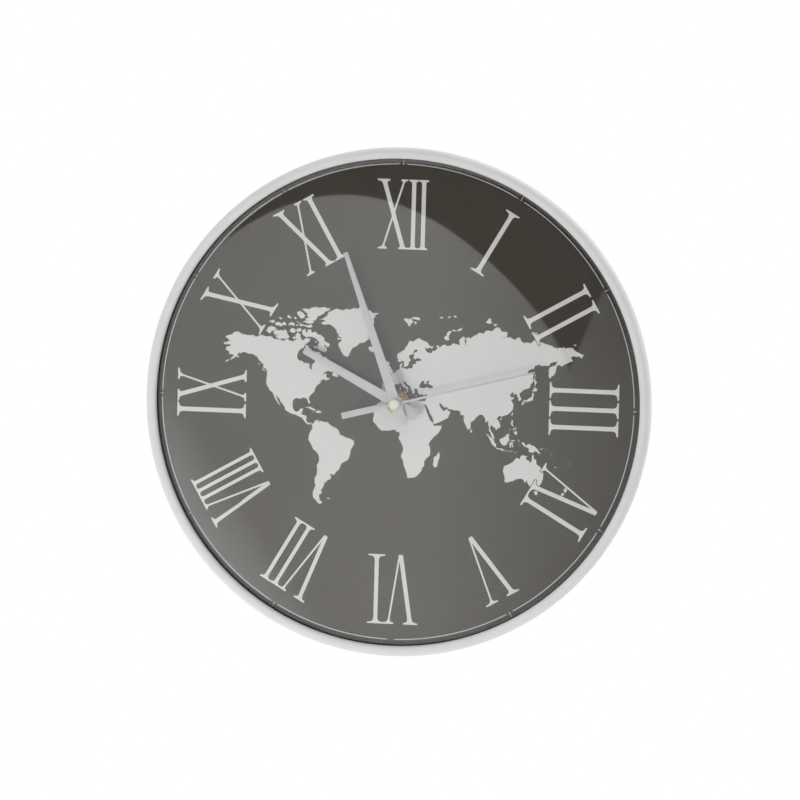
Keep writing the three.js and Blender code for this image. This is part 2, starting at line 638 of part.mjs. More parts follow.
/** The rear cover: posts of the train, the seconds bearing, and pegs that hold stator and board. */
function movementCover() {
  const plate = extruded(
    roundedRectangle(-caseHalf, insideBottom - CASE_WALL / 2 + SEAT_GAP, caseHalf, caseTop, CASE_CORNER),
    MOVEMENT_STANDOFF,
    coverInside,
  );
  const root = coverInside - COVER_THICKNESS / 2;
  const post = (axis, front) => rod(POST_RADIUS, root, front, ROUND_SMALL).translate(axis.x, axis.y, 0);
  const peg = (axis, shoulder, front) =>
    turned(
      [
        new THREE.Vector2(0, root),
        new THREE.Vector2(BOSS_RADIUS, root),
        new THREE.Vector2(BOSS_RADIUS, shoulder),
        new THREE.Vector2(PEG_RADIUS, shoulder),
        new THREE.Vector2(PEG_RADIUS, front),
        new THREE.Vector2(0, front),
      ],
      ROUND_SMALL,
    ).translate(axis.x, axis.y, 0);
  const additions = [
    post(thirdAxis, levelRear("centre") + WHEEL_WIDTH),
    post(intermediateAxis, levelRear("seconds") + WHEEL_WIDTH),
    post(rotorAxis, statorFront),
    ...boardPegs.map((axis) => peg(axis, boardRear - SEAT_GAP, boardFront + SEAT_GAP)),
    ...statorPegs.map((axis) => peg(axis, statorRear - SEAT_GAP, statorFront + SEAT_GAP)),
    rod(BOSS_RADIUS, root, levelRear("seconds") - SEAT_GAP, ROUND_SMALL),
  ];
  const secondsHole = rod(ARBOR_RADIUS + RUN_GAP, coverInside, levelRear("seconds"), ROUND_SMALL);
  const stemHole = rod(
    STEM_RADIUS + PIPE_GAP,
    MOVEMENT_STANDOFF - OVERCUT,
    coverInside + OVERCUT,
    ROUND_SMALL,
  );
  stemHole.translate(motionAxis.x, motionAxis.y, 0);
  return joined([plate, ...additions], [secondsHole, stemHole]);
}

/** The cell: a can with its positive nub, lying along the bay. */
function cell() {
  const right = CELL_LENGTH / 2;
  const can = alongBay(CELL_RADIUS, -right, right - NUB_LENGTH, ROUND_MEDIUM);
  return joined([can, alongBay(NUB_RADIUS, 0, right, ROUND_SMALL)]);
}

/** A contact strip across the end of the bay. */
function contact(line) {
  const outline = stripOutline(line, CONTACT_SHEET);
  const rear = cellZ - CONTACT_WIDTH / 2;
  return extruded(outline, rear, rear + CONTACT_WIDTH).translate(0, cellY, 0);
}

/** The positive contact, with a pad that meets the nub. */
function contactPositive() {
  const pad = springFace + CONTACT_SHEET / 2;
  const back = bayHalf - SEAT_GAP - CONTACT_SHEET / 2;
  const foot = (NUB_RADIUS + contactReach) / 2;
  const line = [
    [back, contactReach],
    [back, foot],
    [pad, NUB_RADIUS],
    [pad, -NUB_RADIUS],
    [back, -foot],
    [back, -contactReach],
  ];
  return contact(line.map(([x, y]) => new THREE.Vector2(x, y)));
}

/** The negative contact: a back with a leaf folded over it that presses on the cell. */
function contactNegative() {
  const back = -bayHalf + SEAT_GAP + CONTACT_SHEET / 2;
  const leaf = -springFace - CONTACT_SHEET / 2;
  const fold = (back + leaf) / 2;
  const line = [
    [back, contactReach],
    [back, SPRING_SPACE - contactReach],
    [fold, CONTACT_SHEET - contactReach],
    [leaf, 0],
    [fold, contactReach - SPRING_SPACE],
  ];
  return contact(line.map(([x, y]) => new THREE.Vector2(x, y)));
}

/** The stator plate: the bar with the rotor's bore, and two arms that reach the coil's core. */
function stator() {
  const right = rotorAxis.x + statorReach;
  const boreTop = rotorAxis.y + statorReach;
  const armEnd = coilX - CORE_WIDTH / 2;
  const outline = [
    [armEnd, statorBottom],
    [right, statorBottom],
    [right, boreTop],
    [statorLeft + STATOR_BAR, boreTop],
    [statorLeft + STATOR_BAR, statorTop],
    [armEnd, statorTop],
    [armEnd, COIL_RISE],
    [statorLeft, COIL_RISE],
    [statorLeft, statorBottom + STATOR_ARM],
    [armEnd, statorBottom + STATOR_ARM],
  ].map(([x, y]) => new THREE.Vector2(x, y));
  const holes = [
    circle(statorBore, ROUND_MEDIUM, rotorAxis.x, rotorAxis.y),
    ...statorPegs.map((peg) => circle(PEG_RADIUS + PIPE_GAP, ROUND_SMALL, peg.x, peg.y)),
  ];
  return extruded(outline, statorRear, statorFront, holes);
}

/** A bar along the coil's axis, between two heights of the dial's plane. */
function alongCoil(width, thickness, bottom, top) {
  const bar = new THREE.BoxGeometry(width, top - bottom, thickness);
  return bar.translate(coilX, (bottom + top) / 2, coreMiddle);
}

/** A profile of radius and height turned about the coil's axis. */
function turnedOnCoil(profile) {
  return turned(profile, ROUND_MEDIUM)
    .rotateX(-TAU / 4)
    .translate(coilX, 0, coreMiddle);
}

/** The core that closes the stator's loop through the coil. */
function coilCore() {
  return alongCoil(CORE_WIDTH, STATOR_THICKNESS, statorBottom, statorTop);
}

/** The bobbin: a flanged spool with a slot for the core. */
function coilBobbin() {
  const spool = turnedOnCoil([
    new THREE.Vector2(0, coilBottom),
    new THREE.Vector2(BOBBIN_RADIUS, coilBottom),
    new THREE.Vector2(BOBBIN_RADIUS, coilBottom + BOBBIN_FLANGE),
    new THREE.Vector2(BARREL_RADIUS, coilBottom + BOBBIN_FLANGE),
    new THREE.Vector2(BARREL_RADIUS, coilTop - BOBBIN_FLANGE),
    new THREE.Vector2(BOBBIN_RADIUS, coilTop - BOBBIN_FLANGE),
    new THREE.Vector2(BOBBIN_RADIUS, coilTop),
    new THREE.Vector2(0, coilTop),
  ]);
  const slot = alongCoil(
    CORE_WIDTH + SEAT_GAP,
    STATOR_THICKNESS + SEAT_GAP,
    coilBottom - OVERCUT,
    coilTop + OVERCUT,
  );
  return joined([spool], [slot]);
}

/** The winding on the bobbin. */
function coilWinding() {
  const bottom = coilBottom + BOBBIN_FLANGE + SEAT_GAP;
  const top = coilTop - BOBBIN_FLANGE - SEAT_GAP;
  const inside = BARREL_RADIUS + SEAT_GAP / 2;
  const outside = BOBBIN_RADIUS - WINDING_INSET;
  return turnedOnCoil([
    new THREE.Vector2(inside, bottom),
    new THREE.Vector2(outside, bottom),
    new THREE.Vector2(outside, top),
    new THREE.Vector2(inside, top),
    new THREE.Vector2(inside, bottom),
  ]);
}

/** The circuit board on its two pegs. */
function circuitBoard() {
  const outline = roundedRectangle(
    boardX - BOARD_WIDTH / 2,
    boardY - BOARD_HEIGHT / 2,
    boardX + BOARD_WIDTH / 2,
    boardY + BOARD_HEIGHT / 2,
    chamberCorner,
  );
  const holes = boardPegs.map((peg) => circle(PEG_RADIUS + PIPE_GAP, ROUND_SMALL, peg.x, peg.y));
  return extruded(outline, boardRear, boardFront, holes);
}

/** The quartz crystal's can, lying along the board's upper edge. */
function quartzCrystal() {
  const lift = boardFront + SEAT_GAP + CRYSTAL_RADIUS;
  const across = new THREE.Matrix4().makeBasis(unit("y"), unit("z"), unit("x"));
  return rod(CRYSTAL_RADIUS, -CRYSTAL_LENGTH / 2, CRYSTAL_LENGTH / 2, ROUND_SMALL)
    .applyMatrix4(across)
    .translate(boardX, boardY + BOARD_HEIGHT / 2 - CRYSTAL_INSET, lift);
}

/** The chip under its drop of resin. */
function driverChip() {
  const rear = boardFront + SEAT_GAP;
  const profile = new THREE.Path();
  profile.moveTo(0, rear);
  profile.lineTo(CHIP_RADIUS, rear);
  profile.quadraticCurveTo(CHIP_RADIUS, rear + CHIP_HEIGHT, 0, rear + CHIP_HEIGHT);
  const drop = turned(profile.getPoints(CORNER_STEPS), ROUND_SMALL);
  return drop.translate(boardX, boardY - CHIP_DROP, 0);
}

/** The rotor's pinion with the sleeve that carries the magnet. */
function rotorPinion() {
  const rear = levelRear("rotor");
  const gear = toothing(fastModule, ROTOR_TEETH, PINION_FORM, rear, rear + WHEEL_WIDTH, rotorPhase, postBore);
  const sleeve = tube(SLEEVE_RADIUS, postBore, rear, magnetMiddle + MAGNET_HEIGHT / 2, ROUND_SMALL);
  return joined([gear, sleeve]);
}

/** The rotor's magnet ring. */
function rotorMagnet() {
  const bore = SLEEVE_RADIUS + RUN_GAP;
  return tube(MAGNET_RADIUS, bore, magnetRear, magnetRear + MAGNET_HEIGHT, ROUND_MEDIUM);
}

/** The intermediate wheel and its pinion. */
function intermediateWheel() {
  const rear = levelRear("rotor");
  const front = levelRear("seconds") + WHEEL_WIDTH;
  return joined([
    toothing(fastModule, INTERMEDIATE_TEETH, WHEEL_FORM, rear, rear + WHEEL_WIDTH, 0, postBore),
    toothing(
      fastModule,
      INTERMEDIATE_PINION_TEETH,
      PINION_FORM,
      rear + WHEEL_WIDTH / 2,
      front,
      intermediatePinionPhase,
      postBore,
    ),
  ]);
}

/** The seconds wheel, its pinion and the arbor that carries the second hand. */
function secondsWheel() {
  const rear = levelRear("seconds");
  const pinionFront = levelRear("third") + WHEEL_WIDTH;
  return joined([
    toothing(fastModule, SECONDS_TEETH, WHEEL_FORM, rear, rear + WHEEL_WIDTH, secondsPhase, 0),
    toothing(TRAIN_MODULE, SECONDS_PINION_TEETH, PINION_FORM, rear + WHEEL_WIDTH / 2, pinionFront, 0, 0),
    rod(ARBOR_RADIUS, coverInside + SEAT_GAP, arborFront, ROUND_SMALL),
  ]);
}

/** The third wheel and its pinion. */
function thirdWheel() {
  const rear = levelRear("third");
  const front = levelRear("centre") + WHEEL_WIDTH;
  return joined([
    toothing(TRAIN_MODULE, THIRD_TEETH, WHEEL_FORM, rear, rear + WHEEL_WIDTH, thirdPhase, postBore),
    toothing(centreModule, THIRD_PINION_TEETH, PINION_FORM, rear + WHEEL_WIDTH / 2, front, 0, postBore),
  ]);
}

/** The centre wheel, which grips the minute pipe by friction. */
function centreWheel() {
  const rear = levelRear("centre");
  const bore = MINUTE_PIPE_RADIUS + RUN_GAP;
  return toothing(centreModule, CENTRE_TEETH, WHEEL_FORM, rear, rear + WHEEL_WIDTH, centrePhase, bore);
}

/** The minute pipe with its cannon pinion. */
function minutePipe() {
  const rear = levelRear("cannon");
  const pipeRear = levelRear("centre") - SEAT_GAP;
  return joined([
    toothing(settingModule, CANNON_TEETH, PINION_FORM, rear, rear + WHEEL_WIDTH, 0, minutePipeBore),
    tube(MINUTE_PIPE_RADIUS, minutePipeBore, pipeRear, minutePipeFront, ROUND_SMALL),
  ]);
}

/** The motion wheel and its pinion on the setting stem. */
function motionWheel() {
  const rear = levelRear("cannon");
  const pinionRear = rear + WHEEL_WIDTH / 2;
  const pinionFront = levelRear("hour") + WHEEL_WIDTH;
  return joined([
    toothing(settingModule, MOTION_TEETH, WHEEL_FORM, rear, rear + WHEEL_WIDTH, motionPhase, 0),
    toothing(hourModule, MOTION_PINION_TEETH, PINION_FORM, pinionRear, pinionFront, 0, 0),
    rod(STEM_RADIUS, stemRear, rear + WHEEL_WIDTH, ROUND_SMALL),
    rod(STEM_PIVOT, rear, caseInside + CASE_WALL / 2 - SEAT_GAP, ROUND_SMALL),
  ]);
}

/** The knob on the stem, fluted round its edge. */
function settingKnob() {
  const rear = stemRear - SEAT_GAP - KNOB_HEIGHT;
  const outline = Array.from({ length: 2 * KNOB_FLUTES }, (_, corner) =>
    polar(KNOB_RADIUS - (corner % 2) * KNOB_FLUTE_DEPTH, (TAU * corner) / (2 * KNOB_FLUTES)),
  );
  return extruded(outline, rear, rear + KNOB_HEIGHT);
}

/** The hour wheel and its pipe. */
function hourWheel() {
  const rear = levelRear("hour");
  return joined([
    toothing(hourModule, HOUR_TEETH, WHEEL_FORM, rear, rear + WHEEL_WIDTH, hourPhase, hourPipeBore),
    tube(hourPipeRadius, hourPipeBore, rear, hourPipeFront, ROUND_MEDIUM),
  ]);
}

/** A sheet hand that points up: a tapered blade with a tail, and a collet that grips its pipe. */
function bladeHand(hand, rear, pipeRadius, sides) {
  const front = rear + COLLET_HEIGHT;
  const blade = [
    new THREE.Vector2(-hand.base / 2, -hand.tail),
    new THREE.Vector2(hand.base / 2, -hand.tail),
    new THREE.Vector2(hand.base / 2, 0),
    new THREE.Vector2(hand.tip / 2, hand.length),
    new THREE.Vector2(-hand.tip / 2, hand.length),
    new THREE.Vector2(-hand.base / 2, 0),
  ];
  const hole = rod(pipeRadius + RUN_GAP, rear - OVERCUT, front + OVERCUT, sides);
  const collet = rod(HUB_RADIUS, rear, front, ROUND_MEDIUM);
  return joined([extruded(blade, front - BLADE_THICKNESS, front), collet], [hole]);
}

/** The second hand: a needle, a bar for a tail, and a hub on the arbor. */
function secondHand() {
  const rear = secondHandRear;
  const front = rear + BLADE_THICKNESS;
  const { neck, tip, bar, barStart, length, tail } = SECOND_HAND;
  const half = [
    [tip / 2, length],
    [neck / 2, 0],
    [neck / 2, -barStart],
    [bar / 2, -barStart],
    [bar / 2, -tail],
  ];
  const mirrored = half.map(([x, y]) => [-x, y]).reverse();
  const outline = [...half, ...mirrored].map(([x, y]) => new THREE.Vector2(x, y));
  const hub = rod(SECOND_HUB_RADIUS, rear, rear + COLLET_HEIGHT, ROUND_MEDIUM);
  const hole = rod(ARBOR_RADIUS + RUN_GAP, rear - OVERCUT, rear + COLLET_HEIGHT + OVERCUT, ROUND_SMALL);
  return joined([extruded(outline.reverse(), rear, front), hub], [hole]);
}

/** The rounded cap over the end of the arbor. */
function centreCap() {
  const profile = new THREE.Path();
  profile.moveTo(0, capRear);
  profile.lineTo(CAP_RADIUS, capRear);
  profile.lineTo(CAP_RADIUS, capRear + CAP_HEIGHT / 2);
  profile.quadraticCurveTo(CAP_RADIUS, capRear + CAP_HEIGHT, 0, capRear + CAP_HEIGHT);
  return turned(profile.getPoints(CORNER_STEPS), ROUND_MEDIUM);
}

/** A flat ring that fits over the bush. */
function flatRing(radius, rear, thickness) {
  return tube(radius, bushHole, rear, rear + thickness, ROUND_MEDIUM);
}

/** The hexagon nut on the bush. */
function hexNut() {
  const corner = NUT_FLATS / Math.sqrt(3);
  return extruded(circle(corner, 6), nutRear, nutRear + NUT_HEIGHT, [circle(bushHole, ROUND_MEDIUM)]);
}

const FINISHES = {
  whitePlastic: { color: 0xdcdcda, roughness: 0.4, metalness: 0 },
  clear: { color: 0xf4f7f8, roughness: 0.05, metalness: 0, transparent: true, opacity: 0.25 },
  darkPrint: { color: 0x3e3a36, roughness: 0.6, metalness: 0 },
  blackPlastic: { color: 0x1b1b1c, roughness: 0.5, metalness: 0 },
  amberPlastic: { color: 0xd9c9a0, roughness: 0.45, metalness: 0 },
  rubber: { color: 0x222222, roughness: 0.9, metalness: 0 },
  brass: { color: 0xb08d4a, roughness: 0.35, metalness: 1 },
  copper: { color: 0xb4683c, roughness: 0.4, metalness: 1 },
  steel: { color: 0xa8abad, roughness: 0.35, metalness: 1 },
  silverPaint: { color: 0xc3c9cc, roughness: 0.4, metalness: 0.6 },
  creamPlastic: { color: 0xe2dccb, roughness: 0.4, metalness: 0 },
  board: { color: 0x2d5a3a, roughness: 0.6, metalness: 0 },
  cellJacket: { color: 0x6f7478, roughness: 0.35, metalness: 0.3 },
};

/** A named piece, placed on an axis of the dial's plane and turned about it. */
function piece(name, geometry, finish, axis = new THREE.Vector2(), turn = 0) {
  const mesh = new THREE.Mesh(geometry, new THREE.MeshStandardMaterial(FINISHES[finish]));
  mesh.name = name;
  mesh.position.set(axis.x, axis.y, 0);
  mesh.rotation.z = turn;
  return mesh;
}

/** A group of pieces. */
function groupOf(...pieces) {
  return new THREE.Group().add(...pieces);
}

const centre = new THREE.Vector2();
const front = groupOf(
  piece("frame_ring", frameRing(), "whitePlastic"),
  piece("lens", lens(), "clear"),
  piece("dial", dial(), "darkPrint"),
  piece("back_plate", backPlate(), "blackPlastic"),
  piece("hanger", hanger(), "steel"),
  piece("gasket", flatRing(GASKET_RADIUS, gasketRear, GASKET_THICKNESS), "rubber"),
  piece("washer", flatRing(WASHER_RADIUS, washerRear, WASHER_THICKNESS), "brass"),
  piece("hex_nut", hexNut(), "brass"),
);
const movement = groupOf(
  piece("movement_case", movementCase(), "blackPlastic"),
  piece("movement_cover", movementCover(), "blackPlastic"),
  piece("aa_cell", cell(), "cellJacket"),
  piece("contact_positive", contactPositive(), "steel"),
  piece("contact_negative", contactNegative(), "steel"),
  piece("circuit_board", circuitBoard(), "board"),
  piece("driver_chip", driverChip(), "blackPlastic"),
  piece("quartz_crystal", quartzCrystal(), "steel"),
  piece("stator", stator(), "steel"),
  piece("coil_core", coilCore(), "steel"),
  piece("coil_bobbin", coilBobbin(), "amberPlastic"),
  piece("coil_winding", coilWinding(), "copper"),
);
const train = groupOf(
  piece("rotor_pinion", rotorPinion(), "amberPlastic", rotorAxis),
  piece("rotor_magnet", rotorMagnet(), "steel", rotorAxis),
  piece("intermediate_wheel", intermediateWheel(), "amberPlastic", intermediateAxis),
  piece("seconds_wheel", secondsWheel(), "amberPlastic"),
  piece("third_wheel", thirdWheel(), "amberPlastic", thirdAxis),
  piece("centre_wheel", centreWheel(), "amberPlastic"),
  piece("minute_pipe", minutePipe(), "brass"),
  piece("motion_wheel", motionWheel(), "amberPlastic", motionAxis),
  piece("setting_knob", settingKnob(), "blackPlastic", motionAxis),
  piece("hour_wheel", hourWheel(), "amberPlastic"),
);
const secondsTurn = -radians(SECOND_HAND.angle);
const hands = groupOf(
  piece(
    "hour_hand",
    bladeHand(HOUR_HAND, hourHandRear, hourPipeRadius, ROUND_MEDIUM),
    "silverPaint",
    centre,
    -radians(HOUR_HAND.angle),
  ),
  piece(
    "minute_hand",
    bladeHand(MINUTE_HAND, minuteHandRear, MINUTE_PIPE_RADIUS, ROUND_SMALL),
    "silverPaint",
    centre,
    -radians(MINUTE_HAND.angle),
  ),
  piece("second_hand", secondHand(), "silverPaint", centre, secondsTurn),
  piece("centre_cap", centreCap(), "creamPlastic", centre, secondsTurn),
);

const clock = groupOf(front, movement, train, hands);
clock.rotation.x = TAU / 4;

export default clock;
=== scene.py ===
"""Looks of the world map wall clock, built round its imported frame.

New pieces are drawn in millimetres and lying face up: X to the right, Y towards twelve and Z out of
the wall. hang() then stands a finished piece up in the frame, in metres, with the dial facing -Y.
"""

import logging
import math
import random
from contextlib import contextmanager
from dataclasses import dataclass
from enum import Enum
from typing import Iterator, Optional, Sequence, Union

import bpy
import numpy as np
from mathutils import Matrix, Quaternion, Vector


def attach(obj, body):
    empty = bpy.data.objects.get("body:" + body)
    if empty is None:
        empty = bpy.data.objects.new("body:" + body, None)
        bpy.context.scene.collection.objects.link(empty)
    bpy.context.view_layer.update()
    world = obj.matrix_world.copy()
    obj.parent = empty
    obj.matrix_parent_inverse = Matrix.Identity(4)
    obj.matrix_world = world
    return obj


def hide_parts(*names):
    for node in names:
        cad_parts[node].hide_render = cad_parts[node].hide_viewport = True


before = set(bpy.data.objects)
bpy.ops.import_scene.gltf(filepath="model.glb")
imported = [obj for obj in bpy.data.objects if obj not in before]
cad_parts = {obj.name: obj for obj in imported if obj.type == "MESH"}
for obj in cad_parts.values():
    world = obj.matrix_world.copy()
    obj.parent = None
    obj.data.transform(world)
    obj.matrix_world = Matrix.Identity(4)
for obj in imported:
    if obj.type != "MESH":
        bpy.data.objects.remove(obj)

Point = tuple[float, float]
Outline = list[Point]
Colour = tuple[float, float, float]
Piece = bpy.types.Object
Socket = bpy.types.NodeSocket
Fed = Union[Socket, float, tuple]

MM = 0.001
JOIN_DISTANCE = 1e-4
FRAME_JOIN_DISTANCE = 1e-6
FLAT_ANGLE = 0.5
SHARP_ANGLE = 40
SMOOTH_ANGLE = 32
EASE_SEGMENTS = 2
FACE_WEIGHT = 100
MITRE_LIMIT = 0.4
HOUR_ANGLE = 30

log = logging.getLogger("wall_clock")


# Outlines


def polar(radius: float, angle: float) -> Point:
    """Returns the point at a radius, and an angle in degrees clockwise from twelve."""
    return (radius * math.sin(math.radians(angle)), radius * math.cos(math.radians(angle)))


def rotated(outline: Sequence[Point], angle: float) -> Outline:
    """Turns an outline clockwise about the hands' axis.

    Args:
        outline: The points to turn.
        angle: Degrees, clockwise as seen from the front.

    Returns:
        The turned points.
    """
    sine = math.sin(math.radians(angle))
    cosine = math.cos(math.radians(angle))
    return [(x * cosine + y * sine, y * cosine - x * sine) for x, y in outline]


def swept(start: Point, bend: Point, end: Point, steps: int) -> Outline:
    """Draws a quadratic curve.

    Args:
        start: Its first point.
        bend: The point that it leans towards.
        end: Its last point.
        steps: How many chords it has.

    Returns:
        The points of the curve, both ends among them.
    """
    curve = []
    for step in range(steps + 1):
        t = step / steps
        weights = ((1 - t) ** 2, 2 * t * (1 - t), t**2)
        curve.append(
            tuple(weights[0] * a + weights[1] * b + weights[2] * c for a, b, c in zip(start, bend, end))
        )
    return curve


def grown(outline: Sequence[Point], distance: float) -> Outline:
    """Moves each point of a counter-clockwise outline outwards by a distance along its own normal."""
    result = []
    for before, here, after in zip(outline[-1:] + outline[:-1], outline, outline[1:] + outline[:1]):
        normals = []
        for (ax, ay), (bx, by) in ((before, here), (here, after)):
            length = math.hypot(bx - ax, by - ay)
            normals.append(((by - ay) / length, (ax - bx) / length))
        (nx, ny), (mx, my) = normals
        scale = distance / max(MITRE_LIMIT, 1 + nx * mx + ny * my)
        result.append((here[0] + (nx + mx) * scale, here[1] + (ny + my) * scale))
    return result


def parted(starts: np.ndarray, ends: np.ndarray, others: np.ndarray) -> np.ndarray:
    """Tells which sides have the two ends of each side of another outline on both hands.

    Args:
        starts: The sides' first points.
        ends: The sides' last points.
        others: The corners of the other outline.

    Returns:
        One row for each side, and one column for each side of the other outline.
    """
    along = (ends - starts)[:, None]
    away = others[None] - starts[:, None]
    hand = along[..., 0] * away[..., 1] - along[..., 1] * away[..., 0]
    return hand * np.roll(hand, -1, axis=1) < 0


def crossed_sides(outline: Outline, other: Outline) -> list[int]:
    """Lists the sides of a closed outline that another one cuts.

    Args:
        outline: The outline.
        other: The other outline, or the same one.

    Returns:
        The number of each side that is cut.
    """
    one, two = np.array(outline), np.array(other)
    if np.any(one.max(axis=0) < two.min(axis=0)) or np.any(two.max(axis=0) < one.min(axis=0)):
        return []
    cuts = parted(one, np.roll(one, -1, axis=0), two) & parted(two, np.roll(two, -1, axis=0), one).T
    return np.flatnonzero(cuts.any(axis=1)).tolist()


# Modelling


def clear_selection() -> None:
    """Deselects every object."""
    bpy.ops.object.select_all(action="DESELECT")


def take(piece: Piece) -> None:
    """Makes a piece the only one selected, and the active one."""
    clear_selection()
    piece.select_set(True)
    bpy.context.view_layer.objects.active = piece


@contextmanager
def editing(piece: Piece) -> Iterator[None]:
    """Opens a piece alone in edit mode, all of it selected, and closes it again.

    Args:
        piece: The piece to open.

    Returns:
        A context in which the edit operators act on the piece.
    """
    take(piece)
    bpy.ops.object.mode_set(mode="EDIT")
    bpy.ops.mesh.select_all(action="SELECT")
    yield
    bpy.ops.object.mode_set(mode="OBJECT")


def settle(piece: Piece) -> None:
    """Puts a piece's place, turn and scale into its mesh."""
    take(piece)
    bpy.ops.object.transform_apply(location=True, rotation=True, scale=True)


def close_up(piece: Piece) -> None:
    """Joins a mesh's seams and points its faces outwards."""
    with editing(piece):
        bpy.ops.mesh.remove_doubles(threshold=JOIN_DISTANCE)
        bpy.ops.mesh.normals_make_consistent(inside=False)


def named(name: str) -> Piece:
    """Names the object that was just added, and its mesh."""
    piece = bpy.context.object
    piece.name = name
    piece.data.name = name
    return piece


def turned(name: str, profile: Sequence[Point], sides: int) -> Piece:
    """Turns a profile about Z: a circle is extruded and scaled from ring to ring.

    Args:
        name: The piece's name.
        profile: Radius and height of each ring. A radius of 0 closes the form at a pole.
        sides: Facets round the axis.

    Returns:
        The turned piece.
    """
    clear_selection()
    radius, height = profile[0]
    bpy.ops.mesh.primitive_circle_add(vertices=sides, radius=radius, location=(0, 0, height))
    piece = named(name)
    settle(piece)
    with editing(piece):
        for next_radius, next_height in profile[1:]:
            rise = {"value": (0, 0, next_height - height)}
            bpy.ops.mesh.extrude_region_move(TRANSFORM_OT_translate=rise)
            if next_radius == 0:
                bpy.ops.mesh.merge(type="CENTER")
            else:
                ratio = next_radius / radius
                bpy.ops.transform.resize(value=(ratio, ratio, 1), center_override=(0, 0, 0))
            radius, height = next_radius, next_height
    close_up(piece)
    return piece


def collar(name: str, radius: float, bore: float, span: Point, ease: float, sides: int) -> Piece:
    """Turns a ring with its outer edges eased.

    Args:
        name: The piece's name.
        radius: Its outside.
        bore: Its hole.
        span: Heights of its rear and front faces.
        ease: How far its outer edges are eased.
        sides: Steps round the axis.

    Returns:
        The ring.
    """
    rear, front = span
    section = [
        (bore, rear),
        (radius - ease, rear),
        (radius, rear + ease),
        (radius, front - ease),
        (radius - ease, front),
        (bore, front),
        (bore, rear),
    ]
    return turned(name, section, sides)


def plate(name: str, outlines: Sequence[Outline], rear: float, front: float) -> Piece:
    """Fills flat outlines and gives them a thickness.

    Args:
        name: The piece's name.
        outlines: Closed outlines. One inside another is a hole.
        rear: Height of its rear face.
        front: Height of its front face.

    Returns:
        The plate, a closed mesh.
    """
    curve = bpy.data.curves.new(name, "CURVE")
    curve.dimensions = "2D"
    curve.fill_mode = "BOTH"
    curve.extrude = (front - rear) / 2
    for outline in outlines:
        spline = curve.splines.new("POLY")
        spline.points.add(len(outline) - 1)
        for point, (x, y) in zip(spline.points, outline):
            point.co = (x, y, 0, 1)
        spline.use_cyclic_u = True
    piece = bpy.data.objects.new(name, curve)
    bpy.context.collection.objects.link(piece)
    take(piece)
    bpy.ops.object.convert(target="MESH")
    piece = named(name)
    piece.location.z = (front + rear) / 2
    settle(piece)
    close_up(piece)
    return piece


def gathered(name: str, pieces: Sequence[Piece]) -> Piece:
    """Puts the meshes of several pieces into the first one, and names it."""
    take(pieces[0])
    for piece in pieces:
        piece.select_set(True)
    bpy.ops.object.join()
    return named(name)


def joined(name: str, pieces: Sequence[Piece]) -> Piece:
    """Joins open pieces that share a rim into one closed piece.

    Args:
        name: The name of the result.
        pieces: The pieces, with the same points along their rims.

    Returns:
        The closed piece.
    """
    piece = gathered(name, pieces)
    close_up(piece)
    return piece


def united(name: str, pieces: Sequence[Piece]) -> Piece:
    """Joins pieces that overlap into one skin.

    Args:
        name: The name of the result.
        pieces: The closed pieces to unite.

    Returns:
        One piece, with no faces left inside it.
    """
    piece = gathered(name, pieces)
    with editing(piece):
        bpy.ops.mesh.intersect_boolean(operation="UNION", use_self=True, solver="EXACT")
    close_up(piece)
    return piece


def cut_out(piece: Piece, cutter: Piece) -> None:
    """Takes a cutter's shape out of a piece, and removes the cutter."""
    take(piece)
    bpy.ops.object.modifier_add(type="BOOLEAN")
    cut = piece.modifiers[-1]
    cut.operation = "DIFFERENCE"
    cut.solver = "EXACT"
    cut.object = cutter
    bpy.ops.object.modifier_apply(modifier=cut.name)
    bpy.data.objects.remove(cutter)


def eased(piece: Piece, width: float) -> None:
    """Rounds a piece's sharp edges.

    Args:
        piece: The piece to round.
        width: How far the rounding reaches from an edge.
    """
    take(piece)
    bpy.ops.object.modifier_add(type="BEVEL")
    bevel = piece.modifiers[-1]
    bevel.width = width
    bevel.segments = EASE_SEGMENTS
    bevel.limit_method = "ANGLE"
    bevel.angle_limit = math.radians(SHARP_ANGLE)
    bevel.miter_outer = "MITER_ARC"
    bevel.use_clamp_overlap = True
    bpy.ops.object.modifier_apply(modifier=bevel.name)


def smoothed(piece: Piece, angle: float = SMOOTH_ANGLE) -> None:
    """Shades a piece smooth, apart from edges sharper than an angle in degrees."""
    take(piece)
    bpy.ops.object.shade_smooth_by_angle(angle=math.radians(angle))


def evened(piece: Piece) -> None:
    """Keeps a smooth piece's flat faces flat, so that only its rounded edges shade."""
    take(piece)
    bpy.ops.object.modifier_add(type="WEIGHTED_NORMAL")
    even = piece.modifiers[-1]
    even.keep_sharp = True
    even.weight = FACE_WEIGHT
    bpy.ops.object.modifier_apply(modifier=even.name)


def copied(node: str, name: str) -> Piece:
    """Copies a CAD node's mesh, with its loose triangles joined into clean faces.

    Args:
        node: The CAD node.
        name: The copy's name.

    Returns:
        The copy, in metres, where the node is.
    """
    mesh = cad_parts[node].data.copy()
    mesh.materials.clear()
    piece = bpy.data.objects.new(name, mesh)
    mesh.name = name
    bpy.context.collection.objects.link(piece)
    with editing(piece):
        bpy.ops.mesh.remove_doubles(threshold=FRAME_JOIN_DISTANCE)
        bpy.ops.mesh.dissolve_limited(angle_limit=math.radians(FLAT_ANGLE))
    return piece


def repeated(piece: Piece, angles: Sequence[float]) -> list[Piece]:
    """Copies a piece about the hands' axis, each copy with its own mesh.

    Args:
        piece: The piece, as it lies at twelve.
        angles: Degrees clockwise from twelve, one for each copy.

    Returns:
        The copies.
    """
    copies = []
    for angle in angles:
        copy = piece.copy()
        copy.data = piece.data.copy()
        bpy.context.collection.objects.link(copy)
        copy.rotation_euler.z = -math.radians(angle)
        settle(copy)
        copies.append(copy)
    return copies


